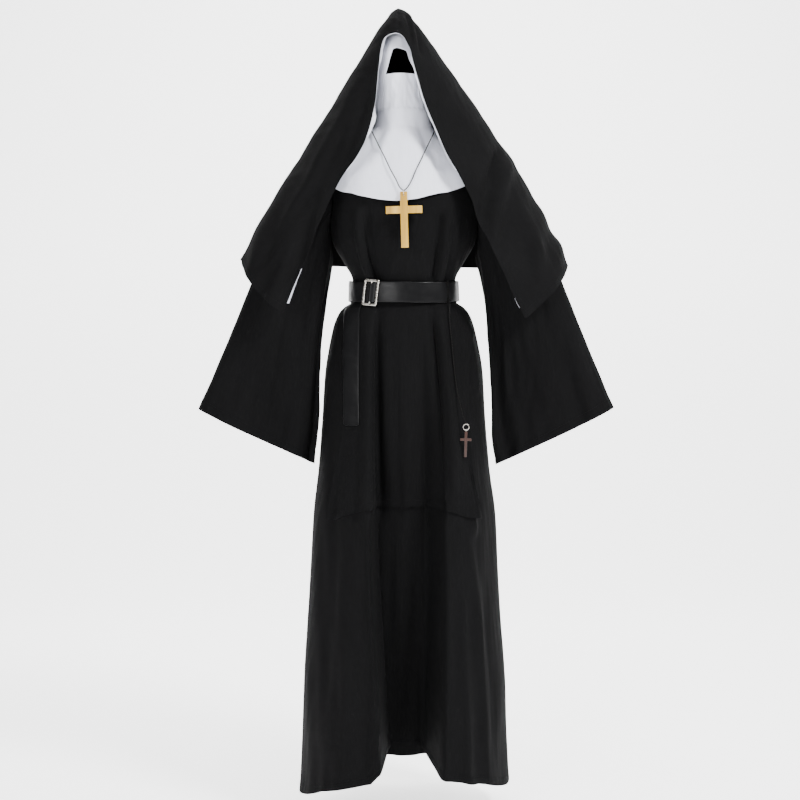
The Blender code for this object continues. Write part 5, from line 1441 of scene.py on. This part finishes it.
def build_belt():
    count = 240
    angles = -180.0 + 360.0 * np.arange(count) / count
    top, top_out, _ = belt_frame(angles, BELT_TOP_ROW)
    low, low_out, _ = belt_frame(angles, BELT_BOTTOM_ROW)
    inner = BELT_INNER + 0.0004
    outer = BELT_INNER + BELT_THICK
    loop = []
    half = (outer - inner) / 2.0
    middle = (outer + inner) / 2.0
    shares = [0.02, 0.10, 0.30, 0.5, 0.70, 0.90, 0.98]
    for share in shares:
        loop.append((outer + 0.0002 * math.sin(math.pi * share), share, 0.0))
    for step in range(1, 6):
        turn = math.pi * step / 6
        loop.append((middle + half * math.cos(turn), 1.0, 0.0009 * math.sin(turn)))
    for share in reversed(shares):
        loop.append((inner, share, 0.0))
    for step in range(1, 6):
        turn = math.pi * step / 6
        loop.append((middle - half * math.cos(turn), 0.0, -0.0009 * math.sin(turn)))
    rings = []
    lays = []
    metres = np.radians(angles) * 0.115
    for out, share, rise in loop:
        base = low * (1.0 - share) + top * share
        push = low_out * (1.0 - share) + top_out * share
        wave = ripple(metres, 0.0 * metres + share * 0.042, 81, 0.03, 0.05) * 0.00035
        shift = ripple(metres, 0.0 * metres, 82, 0.12, 1.0) * 0.0008
        ring = base + push * (out + wave)[:, None]
        ring[:, 2] += rise + shift
        rings.append(ring)
        lays.append(np.stack([metres, np.full(count, share * 0.042), 0.0 * metres], axis=-1))
    rings = np.array(rings)
    index = np.arange(len(loop) * count).reshape(len(loop), count)
    faces = []
    for i in range(len(loop)):
        following = (i + 1) % len(loop)
        for j in range(count):
            beside = (j + 1) % count
            faces.append([int(index[i, j]), int(index[following, j]), int(index[following, beside]),
                          int(index[i, beside])])
    piece = put_mesh("belt_strap", rings.reshape(-1, 3), faces, BELT_LEATHER, "costume",
                     np.array(lays).reshape(-1, 3), crease=70.0)
    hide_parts("belt")


def build_tail():
    tail = table(TAIL_COLUMNS, TAIL_ROWS)
    rows = np.linspace(tail["height"][0], tail["height"][-1], 90)
    share = np.concatenate([[0.0, 0.02, 0.06], np.linspace(0.14, 0.86, 11), [0.94, 0.98, 1.0]])
    left = curve(tail["height"], tail["left"], rows)[:, None]
    right = curve(tail["height"], tail["right"], rows)[:, None]
    angles = left * (1.0 - share) + right * share
    heights = np.repeat(rows[:, None], len(share), axis=1)
    corner = np.array([1.0, 0.75, 0.35] + [0.0] * 11 + [0.35, 0.75, 1.0]) * TAIL_CORNER
    heights[-1] += corner
    heights[-2] += corner * 0.6
    points, normals = draped(heights, angles)
    metres = np.array(rows)[:, None]
    detail = ripple(share[None, :] * 0.035, metres, 91, 0.05, 0.10) * 0.0006
    crown = 0.0003 * np.sin(np.pi * share)[None, :]
    outer = TAIL_INNER + TAIL_WALL + detail + crown + 0.0002
    inner = TAIL_INNER + 0.0003 + detail
    thin = smooth(np.minimum(share, 1.0 - share) / 0.03)[None, :]
    outer = inner + (outer - inner) * (0.45 + 0.55 * thin)
    piece = skin("belt_tail_strap", points, outer, inner, BELT_LEATHER, normals=normals)
    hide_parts("belt_tail")


def buckle_frame():
    """Middle of the buckle's back plane, its directions across, up and out."""
    top, top_out, _ = belt_frame(np.array(BUCKLE_ANGLE), BELT_TOP_ROW)
    low, low_out, along = belt_frame(np.array(BUCKLE_ANGLE), BELT_BOTTOM_ROW)
    slope = top - low
    up = slope / np.linalg.norm(slope)
    out = np.cross(along, up)
    out = out / np.linalg.norm(out)
    if np.dot(out, top_out) < 0.0:
        out = -out
    lean = math.radians(-BUCKLE_TILT)
    across = along * math.cos(lean) + up * math.sin(lean)
    rise = up * math.cos(lean) - along * math.sin(lean)
    lift = BELT_INNER + BELT_THICK + 0.0008
    return (top + low) / 2.0 + (top_out + low_out) / 2.0 * lift, across, rise, out


def build_buckle():
    centre, across, rise, out = buckle_frame()
    half_x = BUCKLE_SIZE[0] / 2
    half_z = BUCKLE_SIZE[1] / 2
    rail = BUCKLE_RAIL / 2 * 0.86
    mid_x = half_x - rail
    mid_z = half_z - rail
    corner = 0.0022
    path = []
    for sx, sz, start in ((1, 1, 0.0), (-1, 1, 90.0), (-1, -1, 180.0), (1, -1, 270.0)):
        for step in range(6):
            turn = math.radians(start + 90.0 * step / 5)
            path.append((sx * (mid_x - corner) + corner * math.cos(turn),
                         sz * (mid_z - corner) + corner * math.sin(turn),
                         math.cos(turn), math.sin(turn)))
    section = []
    flat_half = rail
    thick = BUCKLE_THICK
    round_edge = 0.0009
    for sx, sy, start in ((1, 1, 0.0), (-1, 1, 90.0), (-1, 0, 180.0), (1, 0, 270.0)):
        for step in range(4):
            turn = math.radians(start + 90.0 * step / 3)
            level = thick - round_edge if sy else round_edge
            section.append((sx * (flat_half - round_edge) + round_edge * math.cos(turn),
                            level + round_edge * math.sin(turn)))
    points = []
    for px, pz, nx, nz in path:
        for side, level in section:
            points.append(centre + across * (px + nx * side) + rise * (pz + nz * side) + out * level)
    faces = []
    sides = len(section)
    for i in range(len(path)):
        following = (i + 1) % len(path)
        for j in range(sides):
            beside = (j + 1) % sides
            faces.append([i * sides + j, following * sides + j, following * sides + beside,
                          i * sides + beside])
    base = len(points)
    bar_sides = 14
    for end in (-1.0, 1.0):
        for j in range(bar_sides):
            turn = 2.0 * math.pi * j / bar_sides
            points.append(centre + rise * end * (half_z - BUCKLE_RAIL + 0.0012)
                          + across * 0.0018 * math.cos(turn) + out * (0.0016 + 0.0012 * math.sin(turn)))
    faces.append([base + j for j in range(bar_sides)])
    faces.append([base + bar_sides + j for j in reversed(range(bar_sides))])
    for j in range(bar_sides):
        beside = (j + 1) % bar_sides
        faces.append([base + j, base + bar_sides + j, base + bar_sides + beside, base + beside])
    piece = put_mesh("buckle_frame", points, faces, BUCKLE_METAL, "costume", crease=45.0)
    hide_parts("buckle")
    window_x = half_x - BUCKLE_RAIL - 0.0007
    window_z = half_z - BUCKLE_RAIL - 0.0022
    xs = np.linspace(-window_x, window_x, 25)
    zs = np.linspace(window_z, -window_z, 21)
    hump = 0.0052 * np.exp(-(xs / 0.0060) ** 2) - 0.0007
    grid = np.array([[centre + across * x + rise * z + out * h for x, h in zip(xs, hump)] for z in zs])
    normals = np.broadcast_to(out, grid.shape)
    wrap = skin("belt_over_bar", grid, 0.0008, 0.0, BELT_LEATHER, normals=normals)


# Cords, rings and crosses
def tube(name, route, radius, finish, body, strands=3, lay_pitch=0.006, sides=12, closed_ends=True):
    """Laid cord: a tube with shallow grooves winding round it."""
    route = np.asarray(route, float)
    tangent = np.gradient(route, axis=0)
    tangent = tangent / np.linalg.norm(tangent, axis=1, keepdims=True)
    side = np.cross(tangent[0], np.array([0.3, 0.9, 0.1]))
    side = side / np.linalg.norm(side)
    run = 0.0
    points = []
    for i, place in enumerate(route):
        side = side - tangent[i] * np.dot(side, tangent[i])
        side = side / np.linalg.norm(side)
        other = np.cross(tangent[i], side)
        if i:
            run += np.linalg.norm(route[i] - route[i - 1])
        for j in range(sides):
            turn = 2.0 * math.pi * j / sides
            groove = 0.10 * math.cos(strands * (turn - 2.0 * math.pi * run / lay_pitch / strands))
            reach = radius * (0.93 + groove * 0.7)
            points.append(place + (side * math.cos(turn) + other * math.sin(turn)) * reach)
    faces = []
    for i in range(len(route) - 1):
        for j in range(sides):
            beside = (j + 1) % sides
            faces.append([i * sides + j, i * sides + beside, (i + 1) * sides + beside,
                          (i + 1) * sides + j])
    last = (len(route) - 1) * sides
    faces.append([j for j in reversed(range(sides))])
    faces.append([last + j for j in range(sides)])
    return put_mesh(name, points, faces, finish, body, crease=80.0)


def ring(name, centre, radius, wire, turn, finish, body, parts=48, sides=12, gap=0.0):
    """Jump ring of round wire, its cut showing where the gap is."""
    turned = Matrix.Rotation(math.radians(turn), 3, "Z")
    points = []
    count = parts + 1 if gap > 0.0 else parts
    for i in range(count):
        a = (gap / 2 + (2.0 * math.pi - gap) * i / parts) if gap > 0.0 else 2.0 * math.pi * i / parts
        a += math.radians(35.0)
        for j in range(sides):
            b = 2.0 * math.pi * j / sides
            reach = radius + wire * math.cos(b)
            local = Vector((reach * math.cos(a), wire * math.sin(b), reach * math.sin(a)))
            points.append(np.array(centre) + np.array(turned @ local))
    faces = []
    for i in range(parts):
        following = (i + 1) % count
        for j in range(sides):
            beside = (j + 1) % sides
            faces.append([i * sides + j, i * sides + beside, following * sides + beside,
                          following * sides + j])
    if gap > 0.0:
        last = parts * sides
        faces.append([j for j in reversed(range(sides))])
        faces.append([last + j for j in range(sides)])
    return put_mesh(name, points, faces, finish, body, crease=60.0)


def cross_piece(name, top, size, drop, tilt, finish, body, hole, chamfer):
    """Two crossed bars with eased edges and, where asked, the hole for the link."""
    width, height, post, arm, thick = size
    lean = math.radians(tilt)
    outline = [(-post / 2, 0.0), (post / 2, 0.0), (post / 2, -drop + arm / 2),
               (width / 2, -drop + arm / 2), (width / 2, -drop - arm / 2),
               (post / 2, -drop - arm / 2), (post / 2, -height), (-post / 2, -height),
               (-post / 2, -drop - arm / 2), (-width / 2, -drop - arm / 2),
               (-width / 2, -drop + arm / 2), (-post / 2, -drop + arm / 2)]
    made = bmesh.new()
    face = made.faces.new([made.verts.new((x, -thick / 2, z)) for x, z in outline])
    grown = bmesh.ops.extrude_face_region(made, geom=[face])
    moved = [v for v in grown["geom"] if isinstance(v, bmesh.types.BMVert)]
    bmesh.ops.translate(made, verts=moved, vec=(0.0, thick, 0.0))
    bmesh.ops.recalc_face_normals(made, faces=made.faces[:])
    bmesh.ops.bevel(made, geom=made.edges[:], offset=chamfer, segments=3, profile=0.5,
                    affect="EDGES")
    bmesh.ops.triangulate(made, faces=[f for f in made.faces if len(f.verts) > 4])
    mesh = bpy.data.meshes.new(name)
    made.to_mesh(mesh)
    made.free()
    piece = bpy.data.objects.new(name, mesh)
    bpy.context.scene.collection.objects.link(piece)
    if hole > 0.0:
        tool = bmesh.new()
        bmesh.ops.create_cone(tool, cap_ends=True, segments=24, radius1=hole, radius2=hole,
                              depth=thick * 4.0)
        bmesh.ops.rotate(tool, verts=tool.verts[:], cent=(0, 0, 0),
                         matrix=Matrix.Rotation(math.pi / 2, 3, "X"))
        bmesh.ops.translate(tool, verts=tool.verts[:], vec=(0.0, 0.0, -PENDANT_HOLE))
        drill_mesh = bpy.data.meshes.new("drill")
        tool.to_mesh(drill_mesh)
        tool.free()
        drill = bpy.data.objects.new("drill", drill_mesh)
        bpy.context.scene.collection.objects.link(drill)
        bored = piece.modifiers.new("Hole", "BOOLEAN")
        bored.operation = "DIFFERENCE"
        bored.object = drill
        bored.solver = "EXACT"
        bpy.context.view_layer.update()
        shown = bpy.context.evaluated_depsgraph_get()
        piece.data = bpy.data.meshes.new_from_object(piece.evaluated_get(shown))
        piece.modifiers.clear()
        bpy.data.objects.remove(drill)
    place = (Matrix.Translation(Vector(top) - Vector((0.0, 0.0, HELD_HEIGHT)))
             @ Matrix.Rotation(lean, 4, "Y"))
    piece.data.transform(place)
    piece.data.shade_smooth()
    piece.data.set_sharp_from_angle(angle=math.radians(35.0))
    piece.data.materials.clear()
    piece.data.materials.append(finish)
    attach(piece, body)
    return piece


def build_cord_loop():
    top, top_out, _ = belt_frame(np.array(LOOP_ANGLE), BELT_TOP_ROW)
    low, low_out, along = belt_frame(np.array(LOOP_ANGLE), BELT_BOTTOM_ROW)
    inner = BELT_INNER - 0.0008
    outer = BELT_INNER + BELT_THICK + 0.0010
    round_belt = [low + low_out * outer, low * 0.5 + top * 0.5 + (low_out + top_out) / 2 * (outer + 0.0003),
                  top + top_out * outer, top + top_out * (outer + inner) / 2 + np.array([0, 0, 0.0016]),
                  top + top_out * inner, low * 0.5 + top * 0.5 + (low_out + top_out) / 2 * inner,
                  low + low_out * inner, low + low_out * (outer + inner) / 2 - np.array([0, 0, 0.0016])]
    for shift in (-1.0, 1.0):
        route = smooth_route([p + along * shift * 0.0016 for p in round_belt], 120, True)
        route = np.concatenate([route, route[:2]])
        tube("cord_turn_%s" % ("left" if shift < 0 else "right"), route, 0.00115,
                         CORD_FINISH, "costume")
    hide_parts("cord_loop")
    lift = BELT_INNER + BELT_THICK + 0.0004 + 0.001 + 0.0004 + KNOT_RADIUS
    centre = low + low_out * lift + np.array([0.0, 0.0, KNOT_RADIUS])
    turns = []
    for i in range(150):
        t = 2.0 * math.pi * i / 150
        reach = (KNOT_RADIUS - 0.0014) * (0.62 + 0.38 * math.cos(3.0 * t))
        local = np.array([reach * math.cos(2.0 * t), reach * math.sin(2.0 * t),
                          0.0013 * math.sin(3.0 * t)])
        turns.append(centre + along * local[0] + np.array([0.0, 0.0, 1.0]) * local[1]
                     + low_out * local[2])
    knot = tube("cord_knot_turns", np.array(turns + turns[:2]), 0.00125, CORD_FINISH, "costume")
    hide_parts("cord_knot")
    return centre


def build_belt_pendant(knot):
    route = table(BELT_CORD_COLUMNS, BELT_CORD_ROUTE)
    points = [knot - np.array([0.0, 0.0, KNOT_RADIUS + CORD_RADIUS])]
    points += [front_at(x, height, clear)
               for x, height, clear in zip(route["x"], route["height"], route["clear"])]
    path = smooth_route(points, 300, False)
    cord = tube("belt_cord_laid", path, CORD_RADIUS, CORD_FINISH, "costume")
    end = points[-1]
    middle = end - np.array([0.0, 0.0, RING_RADIUS + RING_WIRE + RING_GAP])
    band = ring("belt_jump_ring", middle, RING_RADIUS, RING_WIRE, RING_TURN, BUCKLE_METAL,
                "belt_pendant", gap=0.10)
    eye_at = middle - np.array([0.0, 0.0, RING_RADIUS])
    eye = ring("belt_cross_loop", eye_at, EYE_RADIUS, EYE_WIRE, RING_TURN + 90.0, BUCKLE_METAL,
               "belt_pendant", 28, 10)
    top = eye_at - np.array([0.0, 0.0, EYE_RADIUS + EYE_WIRE + EYE_GAP])
    cross = cross_piece("belt_cross_wood", top, BELT_CROSS, BELT_ARM_DROP, BELT_CROSS_TILT,
                        RED_CROSS, "belt_pendant", 0.0, 0.0007)
    for piece, node, slot in ((cord, "belt_cord", "black_cord"), (band, "belt_ring", "nickel"),
                              (eye, "belt_cross_eye", "nickel"), (cross, "belt_cross", "red_wood")):
        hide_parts(node)


def build_necklace():
    route = table(NECKLACE_COLUMNS, NECKLACE_ROUTE)
    points = []
    for angle, height, clear in zip(route["angle"], route["height"], route["clear"]):
        around = figure(height, angle + 1.0) - figure(height, angle - 1.0)
        down = figure(height - 0.004, angle) - figure(height + 0.004, angle)
        out = np.cross(down, around)
        base = figure(height, angle) + np.array([BODY_SHIFT, 0.0, 0.0])
        points.append(base + out / np.linalg.norm(out) * clear)
    points[0] = np.array([PENDANT_X, PENDANT_Y, PIVOT_HEIGHT])
    path = smooth_route(points, 640, True)
    nape = int(np.argmax(path[:, 1]))
    path = np.roll(path, -nape, axis=0)
    cord = tube("necklace_cord_laid", path, NECKLACE_RADIUS, CORD_FINISH, "costume", lay_pitch=0.005)
    link_top = PIVOT_HEIGHT + NECKLACE_RADIUS + LINK_GAP + LINK_WIRE
    middle = (PENDANT_X, PENDANT_Y, link_top - LINK_RADIUS)
    link = ring("necklace_jump_ring", middle, LINK_RADIUS, LINK_WIRE, 90.0, BUCKLE_METAL,
                "necklace_pendant", 40, 10)
    top = (PENDANT_X, PENDANT_Y, link_top - 2.0 * LINK_RADIUS + PENDANT_HOLE)
    cross = cross_piece("necklace_cross_wood", top, PENDANT_CROSS, PENDANT_ARM_DROP, PENDANT_TILT,
                        PALE_CROSS, "necklace_pendant", PENDANT_BORE, 0.0011)
    for piece, node, slot in ((cord, "necklace_cord", "black_cord"),
                              (link, "necklace_ring", "nickel"),
                              (cross, "necklace_cross", "pale_wood")):
        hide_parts(node)


make_stage()
build_belt_pendant(build_cord_loop())
build_necklace()
build_robe()
build_scapular()
build_sleeve("sleeve_right", 1.0, RIGHT_SLEEVE, RIGHT_SLEEVE_FOLDS, 101)
build_sleeve("sleeve_left", -1.0, LEFT_SLEEVE, LEFT_SLEEVE_FOLDS, 111)
build_bib()
build_coif()
build_veil()
build_belt()
build_tail()
build_buckle()
bpy.context.view_layer.update()
